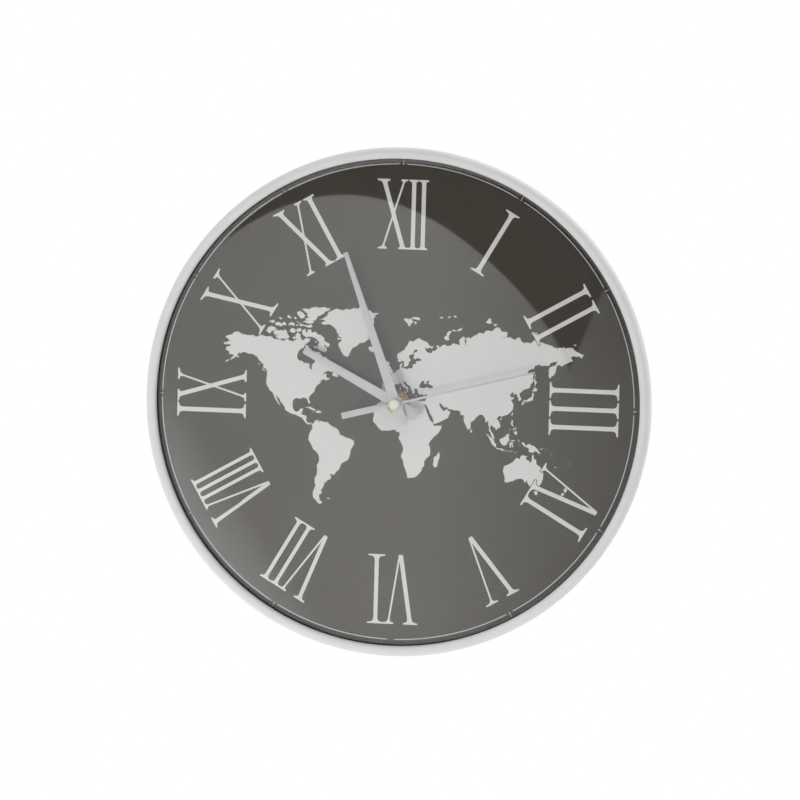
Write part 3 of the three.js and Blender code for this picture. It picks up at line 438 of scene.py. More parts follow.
def dress(piece: Piece, finish: bpy.types.Material, body: str, nodes: Sequence[str]) -> None:
    """Gives a piece its finish, its body and the nodes that it stands for.

    Args:
        piece: The finished piece, in the frame.
        finish: Its material.
        body: The body that it rides on.
        nodes: The CAD nodes that it replaces.
    """
    piece.data.materials.clear()
    piece.data.materials.append(finish)
    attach(piece, body)
    if nodes:
        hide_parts(*nodes)
    log.info("%s: %d faces on %s", piece.name, len(piece.data.polygons), body)


def hang(piece: Piece) -> None:
    """Stands a piece that was drawn face up in the frame, in metres."""
    piece.scale = (MM, MM, MM)
    piece.rotation_euler = (math.pi / 2, 0, 0)
    settle(piece)


# Shader nodes


class Wiring:
    """Adds nodes to a node tree, and links or sets what feeds them."""

    def __init__(self, tree: bpy.types.NodeTree) -> None:
        """Takes the tree to add to."""
        self.tree = tree

    def add(self, kind: str, **settings: object) -> bpy.types.Node:
        """Adds a node and sets its properties.

        Args:
            kind: The node's type.
            settings: Its properties, by name.

        Returns:
            The new node.
        """
        node = self.tree.nodes.new(kind)
        for key, value in settings.items():
            setattr(node, key, value)
        return node

    def feed(self, socket: Socket, value: Fed) -> None:
        """Links a socket to another one, or sets its value."""
        if isinstance(value, Socket):
            self.tree.links.new(value, socket)
        else:
            socket.default_value = value

    def math(self, operation: str, first: Fed, second: Fed = 0.0) -> Socket:
        """Adds a Math node and returns its value."""
        node = self.add("ShaderNodeMath", operation=operation)
        self.feed(node.inputs[0], first)
        self.feed(node.inputs[1], second)
        return node.outputs[0]

    def spread(self, value: Fed, source: Point, target: Point, smooth: bool = False) -> Socket:
        """Maps a value from one range to another, and keeps it inside.

        Args:
            value: What is mapped.
            source: The range that it comes from.
            target: The range that it goes to.
            smooth: Whether it eases in and out.

        Returns:
            The mapped value.
        """
        kind = "SMOOTHSTEP" if smooth else "LINEAR"
        node = self.add("ShaderNodeMapRange", interpolation_type=kind)
        for socket, each in zip(node.inputs, (value, *source, *target)):
            self.feed(socket, each)
        return node.outputs[0]

    def blend(self, factor: Fed, first: Fed, second: Fed) -> Socket:
        """Mixes two colours by a factor and returns the result."""
        node = self.add("ShaderNodeMix", data_type="RGBA")
        self.feed(node.inputs[0], factor)
        self.feed(node.inputs[6], first)
        self.feed(node.inputs[7], second)
        return node.outputs[2]

    def choose(self, factor: Fed, first: Fed, second: Fed) -> Socket:
        """Mixes two values by a factor and returns the result."""
        node = self.add("ShaderNodeMix", data_type="FLOAT")
        self.feed(node.inputs[0], factor)
        self.feed(node.inputs[2], first)
        self.feed(node.inputs[3], second)
        return node.outputs[0]

    def noise(self, vector: Fed, scale: Fed, detail: float) -> Socket:
        """Adds a noise texture and returns its value."""
        node = self.add("ShaderNodeTexNoise")
        self.feed(node.inputs["Vector"], vector)
        self.feed(node.inputs["Scale"], scale)
        self.feed(node.inputs["Detail"], detail)
        return node.outputs[0]


PATCHES_TO_GRAINS = 0.02
DRAWN_STRETCH = (0.04, 1.0, 1.0)
DRAWN_MARKS = (0.1, 0.4)
SPECKLE = (0.0, 0.45)
PATCHES = (0.3, 0.7)
FULL = (0.0, 1.0)


class Surface(Enum):
    """How a surface was made, which gives it its grain."""

    MOULDED = "moulded_grain"
    DRAWN = "drawn_lines"
    PRINTED = "ink_film"
    SPRAYED = "sprayed_speckle"


def grain_group(surface: Surface) -> bpy.types.NodeTree:
    """Builds the shader node group of a kind of surface, once.

    Args:
        surface: How the surface was made.

    Returns:
        The group: from a Vector and a Scale to a Mottle mask and a Height.
    """
    known = bpy.data.node_groups.get(surface.value)
    if known:
        return known
    group = bpy.data.node_groups.new(surface.value, "ShaderNodeTree")
    group.interface.new_socket("Vector", in_out="INPUT", socket_type="NodeSocketVector")
    group.interface.new_socket("Scale", in_out="INPUT", socket_type="NodeSocketFloat")
    group.interface.new_socket("Mottle", in_out="OUTPUT", socket_type="NodeSocketFloat")
    group.interface.new_socket("Height", in_out="OUTPUT", socket_type="NodeSocketFloat")
    wiring = Wiring(group)
    inside = wiring.add("NodeGroupInput")
    outside = wiring.add("NodeGroupOutput")
    vector, scale = inside.outputs[0], inside.outputs[1]
    broad = wiring.math("MULTIPLY", scale, PATCHES_TO_GRAINS)
    if surface is Surface.DRAWN:
        stretch = wiring.add("ShaderNodeVectorMath", operation="MULTIPLY")
        wiring.feed(stretch.inputs[0], vector)
        stretch.inputs[1].default_value = DRAWN_STRETCH
        fine = wiring.noise(stretch.outputs[0], scale, detail=2.0)
        patches = wiring.noise(vector, broad, detail=2.0)
        mottle = wiring.spread(wiring.math("MULTIPLY", fine, patches), DRAWN_MARKS, FULL)
    elif surface is Surface.PRINTED:
        fine = wiring.noise(vector, scale, detail=1.0)
        patches = wiring.noise(vector, broad, detail=4.0)
        mottle = wiring.spread(patches, PATCHES, FULL, smooth=True)
    elif surface is Surface.SPRAYED:
        cells = wiring.add("ShaderNodeTexVoronoi")
        wiring.feed(cells.inputs["Vector"], vector)
        wiring.feed(cells.inputs["Scale"], scale)
        fine = cells.outputs["Distance"]
        patches = wiring.noise(vector, broad, detail=3.0)
        mottle = wiring.spread(wiring.math("MULTIPLY", fine, patches), SPECKLE, FULL)
    else:
        fine = wiring.noise(vector, scale, detail=3.0)
        patches = wiring.noise(vector, broad, detail=3.0)
        mottle = wiring.spread(patches, PATCHES, FULL, smooth=True)
    wiring.feed(outside.inputs[0], mottle)
    wiring.feed(outside.inputs[1], fine)
    return group


@dataclass(frozen=True)
class Finish:
    """An opaque finish: two close tints, a roughness that wanders between two values, and a grain."""

    name: str
    tint: Colour
    shade: Colour
    roughness: Point
    surface: Surface
    grains_per_metre: float
    relief: float
    metallic: float = 0.0
    specular: float = 0.5
    coat: float = 0.0
    coat_roughness: float = 0.12
    bump: float = 0.6
    along: tuple[float, float, float] = (0.0, 0.0, 0.0)

    def material(self) -> bpy.types.Material:
        """Builds the finish's material, once.

        Returns:
            The material.
        """
        known = bpy.data.materials.get(self.name)
        if known:
            return known
        material = bpy.data.materials.new(self.name)
        material.use_nodes = True
        wiring = Wiring(material.node_tree)
        shader = material.node_tree.nodes["Principled BSDF"]
        shader.inputs["Metallic"].default_value = self.metallic
        shader.inputs["Specular IOR Level"].default_value = self.specular
        shader.inputs["Coat Weight"].default_value = self.coat
        shader.inputs["Coat Roughness"].default_value = self.coat_roughness
        place = wiring.add("ShaderNodeTexCoord")
        mapping = wiring.add("ShaderNodeMapping")
        mapping.inputs["Rotation"].default_value = self.along
        wiring.feed(mapping.inputs["Vector"], place.outputs["Object"])
        grain = wiring.add("ShaderNodeGroup", node_tree=grain_group(self.surface))
        wiring.feed(grain.inputs["Vector"], mapping.outputs[0])
        wiring.feed(grain.inputs["Scale"], self.grains_per_metre)
        mottle = grain.outputs["Mottle"]
        colour = wiring.blend(mottle, (*self.tint, 1), (*self.shade, 1))
        wiring.feed(shader.inputs["Base Color"], colour)
        wiring.feed(shader.inputs["Roughness"], wiring.spread(mottle, FULL, self.roughness))
        bump = wiring.add("ShaderNodeBump")
        bump.inputs["Strength"].default_value = self.bump
        bump.inputs["Distance"].default_value = self.relief * MM
        wiring.feed(bump.inputs["Height"], grain.outputs["Height"])
        wiring.feed(shader.inputs["Normal"], bump.outputs[0])
        return material


@dataclass(frozen=True)
class ClearFinish:
    """Clear moulded plastic with faint wipe marks, whose shadow lets the light through."""

    name: str = "clear_styrene"
    tint: Colour = (0.98, 0.985, 0.98)
    index: float = 1.49
    wiped: Point = (0.0, 0.035)
    marks_per_metre: float = 900.0

    def material(self) -> bpy.types.Material:
        """Builds the clear material.

        Returns:
            The material.
        """
        material = bpy.data.materials.new(self.name)
        material.use_nodes = True
        wiring = Wiring(material.node_tree)
        shader = material.node_tree.nodes["Principled BSDF"]
        output = material.node_tree.nodes["Material Output"]
        shader.inputs["Base Color"].default_value = (*self.tint, 1)
        shader.inputs["IOR"].default_value = self.index
        shader.inputs["Transmission Weight"].default_value = 1.0
        place = wiring.add("ShaderNodeTexCoord")
        marks = wiring.add("ShaderNodeGroup", node_tree=grain_group(Surface.DRAWN))
        wiring.feed(marks.inputs["Vector"], place.outputs["Object"])
        wiring.feed(marks.inputs["Scale"], self.marks_per_metre)
        wiring.feed(shader.inputs["Roughness"], wiring.spread(marks.outputs["Mottle"], FULL, self.wiped))
        clear = wiring.add("ShaderNodeBsdfTransparent")
        path = wiring.add("ShaderNodeLightPath")
        lighting = wiring.math("MAXIMUM", path.outputs["Is Shadow Ray"], path.outputs["Is Diffuse Ray"])
        mixer = wiring.add("ShaderNodeMixShader")
        wiring.feed(mixer.inputs[0], lighting)
        wiring.feed(mixer.inputs[1], shader.outputs[0])
        wiring.feed(mixer.inputs[2], clear.outputs[0])
        wiring.feed(output.inputs["Surface"], mixer.outputs[0])
        return material


WHITE_PLASTIC = Finish(
    "white_moulding",
    (0.664, 0.664, 0.657),
    (0.64, 0.64, 0.633),
    (0.42, 0.5),
    Surface.MOULDED,
    2600,
    0.02,
    specular=0.35,
)
BLACK_PLASTIC = Finish(
    "black_moulding", (0.022, 0.022, 0.023), (0.03, 0.03, 0.03), (0.42, 0.56), Surface.MOULDED, 2200, 0.05
)
DIAL_COAT = Finish(
    "dial_coat",
    (0.0275, 0.0208, 0.0132),
    (0.0287, 0.0217, 0.0138),
    (0.3, 0.36),
    Surface.PRINTED,
    1200,
    0.001,
    specular=0.35,
)
# Black for the dial's edge band: part printed ink, part painted shade that stands in for the dark seam
# under the ring's lip.
BLACK_INK_AND_SEAM_SHADE = Finish(
    "black_ink_and_seam_shade",
    (0.006, 0.006, 0.006),
    (0.008, 0.008, 0.008),
    (0.6, 0.7),
    Surface.PRINTED,
    1200,
    0.001,
    specular=0.1,
)
PALE_INK = Finish(
    "pale_ink", (0.59, 0.59, 0.582), (0.575, 0.575, 0.567), (0.4, 0.46), Surface.PRINTED, 1200, 0.001
)
SILVER_PAINT = Finish(
    "sprayed_silver",
    (0.5, 0.512, 0.515),
    (0.472, 0.484, 0.487),
    (0.34, 0.44),
    Surface.SPRAYED,
    6000,
    0.01,
    metallic=0.35,
)
CREAM_PLASTIC = Finish(
    "cream_moulding", (0.64, 0.635, 0.55), (0.61, 0.605, 0.525), (0.28, 0.36), Surface.MOULDED, 3000, 0.01
)
BRASS = Finish(
    "turned_brass",
    (0.55, 0.37, 0.12),
    (0.42, 0.27, 0.09),
    (0.22, 0.38),
    Surface.DRAWN,
    5200,
    0.015,
    metallic=1.0,
)
COPPER = Finish(
    "copper_wire",
    (0.6, 0.26, 0.12),
    (0.45, 0.18, 0.08),
    (0.25, 0.4),
    Surface.DRAWN,
    6000,
    0.02,
    metallic=1.0,
)
STEEL = Finish(
    "rolled_steel",
    (0.52, 0.53, 0.54),
    (0.42, 0.43, 0.44),
    (0.26, 0.42),
    Surface.DRAWN,
    3000,
    0.02,
    metallic=1.0,
    along=(0.0, math.pi / 2, 0.0),
)
WHEEL_PLASTIC = Finish(
    "wheel_moulding", (0.66, 0.56, 0.36), (0.6, 0.5, 0.31), (0.36, 0.46), Surface.MOULDED, 3000, 0.01
)
RUBBER = Finish(
    "black_rubber", (0.02, 0.02, 0.02), (0.03, 0.03, 0.03), (0.75, 0.9), Surface.MOULDED, 2500, 0.04
)
BOARD = Finish(
    "board_lacquer", (0.02, 0.1, 0.04), (0.03, 0.13, 0.05), (0.35, 0.5), Surface.PRINTED, 2500, 0.02
)
CELL_BAND = Finish(
    "cell_band",
    (0.5, 0.51, 0.52),
    (0.46, 0.47, 0.48),
    (0.25, 0.32),
    Surface.PRINTED,
    2500,
    0.01,
    metallic=0.4,
    coat=0.4,
)
CELL_JACKET = Finish(
    "jacket_film",
    (0.15, 0.17, 0.19),
    (0.13, 0.15, 0.17),
    (0.25, 0.32),
    Surface.PRINTED,
    2500,
    0.01,
    metallic=0.4,
    coat=0.4,
)
PALE_FLOOR = Finish(
    "pale_floor", (0.82, 0.82, 0.81), (0.8, 0.8, 0.79), (0.7, 0.8), Surface.PRINTED, 300, 0.05
)


# Sub-assemblies


@dataclass
class FrameRing:
    """The moulded white ring: a rounded crest, a lip over the lens, and lugs that hold the plate in."""

    radius: float = 150.0
    widest: float = 23.9
    straight_share: float = 0.72
    bend_share: float = 0.93
    taper: float = 4.6
    wall: float = 2.6
    inside: float = 146.8
    inside_straight: float = 19.0
    lip_inside: float = 143.6
    lip_edge: float = 0.5
    lip_chamfer: float = 0.2
    lip_under: float = 27.7
    lip_front: float = 28.9
    crest: float = 31.1
    foot_round: float = 0.6
    lug_count: int = 8
    lug_reach: float = 1.8
    lug_rear: float = 20.3
    lug_front: float = 22.3
    lug_root: float = 12.0
    lug_edge: float = 9.6
    lug_round: float = 0.35
    lug_steps: int = 4
    foot_steps: int = 3
    bulge_steps: int = 6
    crest_steps: int = 14
    lip_steps: int = 12
    sides: int = 288

    def section(self) -> Outline:
        """Draws the ring's section from the foot of its outer wall round to the same place.

        Returns:
            Radius and height of each ring of points.
        """
        foot = self.radius - self.taper
        slope = self.taper / self.widest
        turn = self.widest * self.straight_share
        wall_end = (foot + slope * turn, turn)
        bend = (self.radius, self.widest * self.bend_share)
        bulge = (self.radius, self.widest)
        crest = ((self.radius + self.lip_inside) / 2, self.crest)
        lip = (self.lip_inside, self.lip_front)
        rear = self.foot_round
        return [
            *swept((foot - rear, 0), (foot, 0), (foot + slope * rear, rear), self.foot_steps),
            *swept(wall_end, bend, bulge, self.bulge_steps),
            *swept(bulge, (self.radius, self.crest), crest, self.crest_steps)[1:],
            *swept(crest, (self.lip_inside + self.lip_edge / 2, self.crest), lip, self.lip_steps)[1:],
            (self.lip_inside, self.lip_under + self.lip_chamfer),
            (self.lip_inside + self.lip_chamfer, self.lip_under),
            (self.inside, self.lip_under),
            (self.inside, self.inside_straight),
            (foot - self.wall, rear),
            (foot - self.wall + rear, 0),
            (foot - rear, 0),
        ]

    def lugs(self) -> list[Piece]:
        """Models one snap lug, and copies it round the ring.

        Returns:
            All the lugs.
        """
        edge = self.inside - self.lug_reach
        root = (self.inside + self.radius) / 2
        root_half = math.degrees(self.lug_root / self.inside / 2)
        edge_half = math.degrees(self.lug_edge / edge / 2)
        steps = self.lug_steps
        outline = [
            polar(root, -root_half),
            *(polar(edge, edge_half * step / steps) for step in range(-steps, steps + 1)),
            polar(root, root_half),
        ]
        lug = plate("lug", [outline], self.lug_rear, self.lug_front)
        eased(lug, self.lug_round)
        pitch = 360 / self.lug_count
        lugs = repeated(lug, [pitch * (each + 0.5) for each in range(self.lug_count)])
        bpy.data.objects.remove(lug)
        return lugs

    def build(self) -> None:
        """Turns the ring, adds its lugs and dresses it."""
        ring = turned("ring", self.section(), self.sides)
        ring = united("white_ring", [ring, *self.lugs()])
        hang(ring)
        smoothed(ring)
        dress(ring, WHITE_PLASTIC.material(), "housing", ["frame_ring"])


@dataclass
class Lens:
    """The domed lens: two caps, and a flange under the lip."""

    flange: float = 146.4
    flange_rear: float = 25.6
    flange_front: float = 27.4
    inner_foot: float = 143.0
    outer_foot: float = 144.0
    inner_apex: float = 43.578
    outer_apex: float = 45.578
    rings: int = 36
    sides: int = 192

    def cap(self, edge: float, base: float, apex: float) -> Outline:
        """Draws one cap from its edge to its apex.

        Args:
            edge: Radius of its edge, seen from the front.
            base: Height of its edge.
            apex: Height of its apex.

        Returns:
            Radius and height of each ring, the pole among them.
        """
        rise = apex - base
        radius = (edge**2 + rise**2) / (2 * rise)
        centre = apex - radius
        span = math.asin(edge / radius)
        arc = []
        for ring in range(self.rings):
            angle = span * (1 - ring / self.rings)
            arc.append((radius * math.sin(angle), centre + radius * math.cos(angle)))
        return [*arc, (0, apex)]

    def build(self) -> None:
        """Turns both faces of the lens, joins them and dresses the result."""
        rim = [(self.flange, self.flange_rear), (self.flange, self.flange_front)]
        outer = self.cap(self.outer_foot, self.flange_front, self.outer_apex)
        inner = self.cap(self.inner_foot, self.flange_rear, self.inner_apex)
        front = turned("lens_front", [*rim, *outer], self.sides)
        rear = turned("lens_rear", [rim[0], *inner], self.sides)
        lens = joined("domed_lens", [front, rear])
        hang(lens)
        smoothed(lens)
        dress(lens, ClearFinish().material(), "housing", ["lens"])


@dataclass(frozen=True)
class Stroke:
    """One stroke of a numeral: a straight band with bracketed serifs."""

    foot: float
    head: float
    thickness: float
    foot_serif: float
    head_serif: float
    least_tip: float = 0.25
    tip_share: float = 0.75
    bracket_rise: float = 1.1
    bracket_steps: int = 6

    def outline(self, height: float, slab: float, bracket: float) -> Outline:
        """Draws the stroke counter-clockwise from its right foot.

        Args:
            height: The numeral's height.
            slab: Thickness of a serif.
            bracket: Largest reach of the curve between serif and band.

        Returns:
            The stroke's points.
        """
        lean = (self.head - self.foot) / height
        half = self.thickness / 2 * math.hypot(1, lean)

        def end(side: int, at_head: bool) -> Outline:
            """Draws one side of one end, from its tip to the band."""
            level = height if at_head else 0.0
            into = -1 if at_head else 1
            serif = self.head_serif if at_head else self.foot_serif
            middle = self.foot + lean * level
            if serif == 0:
                return [(middle + side * half, level)]
            reach = min(bracket, serif - half - self.least_tip)
            inner = level + into * slab

            def edge(at: float) -> float:
                """Returns where the band's edge is at a level."""
                return self.foot + lean * at + side * half

            last = inner + into * reach * self.bracket_rise
            start = (edge(inner) + side * reach, inner)
            curve = swept(start, (edge(inner), inner), (edge(last), last), self.bracket_steps)
            tip = middle + side * serif
            return [(tip, level), (tip, level + into * slab * self.tip_share), *curve]

        return [
            *end(1, False),
            *reversed(end(1, True)),
            *end(-1, True),
            *reversed(end(-1, False)),
        ]


@dataclass(frozen=True)
class Stem:
    """A numeral's upright."""

    place: float
    serif: float
    thickness: float = 2.6

    def strokes(self) -> list[Stroke]:
        """Returns its one stroke."""
        return [Stroke(self.place, self.place, self.thickness, self.serif, self.serif)]


@dataclass(frozen=True)
class Vee:
    """A numeral's V: a thick stroke and a thin one that meet at the foot."""

    place: float
    spread: float
    thick_serif: float
    thin_serif: float
    thick: float = 2.5
    thin: float = 1.05
    thin_foot: float = 0.65

    def strokes(self) -> list[Stroke]:
        """Returns its thick and its thin stroke."""
        left, right = self.place - self.spread, self.place + self.spread
        return [
            Stroke(self.place, left, self.thick, 0, self.thick_serif),
            Stroke(self.place + self.thin_foot, right, self.thin, 0, self.thin_serif),
        ]


@dataclass(frozen=True)
class Cross:
    """A numeral's X: a thick stroke that falls to the right, and a thin one across it."""

    place: float
    spread: float
    thick_head: float
    thick_foot: float
    thin_head: float
    thin_foot: float
    thick: float = 2.5
    thin: float = 1.05

    def strokes(self) -> list[Stroke]:
        """Returns its thick and its thin stroke."""
        left, right = self.place - self.spread, self.place + self.spread
        return [
            Stroke(right, left, self.thick, self.thick_foot, self.thick_head),
            Stroke(left, right, self.thin, self.thin_foot, self.thin_head),
        ]


NUMERALS: dict[int, list[Union[Stem, Vee, Cross]]] = {
    1: [Stem(0, 4.5)],
    2: [Stem(-5.4, 4.3), Stem(5.4, 4.3)],
    3: [Stem(-10.8, 4.7), Stem(0, 4.7), Stem(10.8, 4.7)],
    4: [Stem(-7.7, 4.7), Vee(7.2, 6.5, 4.2, 3.0)],
    5: [Vee(-0.4, 7.0, 4.1, 3.9)],
    6: [Vee(-4.6, 6.6, 4.2, 3.1), Stem(9.6, 5.0, 2.4)],
    7: [Vee(-5.6, 5.8, 3.6, 2.5, 2.3), Stem(5.6, 3.4, 2.15), Stem(12.4, 3.4, 2.15)],
    8: [
        Vee(-6.4, 5.5, 3.3, 2.3, 2.3),
        Stem(3.8, 2.9, 1.95),
        Stem(8.9, 2.9, 1.95),
        Stem(14.0, 2.9, 1.95),
    ],
    9: [Stem(-8.9, 4.2), Cross(5.6, 6.3, 3.3, 3.5, 3.3, 2.5)],
    10: [Cross(0.4, 6.9, 4.4, 4.4, 3.4, 3.4)],
    11: [Cross(-2.9, 6.5, 3.7, 3.1, 2.3, 2.6), Stem(10.7, 3.5)],
    12: [Cross(-5.2, 6.2, 3.7, 2.9, 2.0, 2.7), Stem(6.6, 2.85, 2.45), Stem(12.5, 2.85, 2.45)],
}


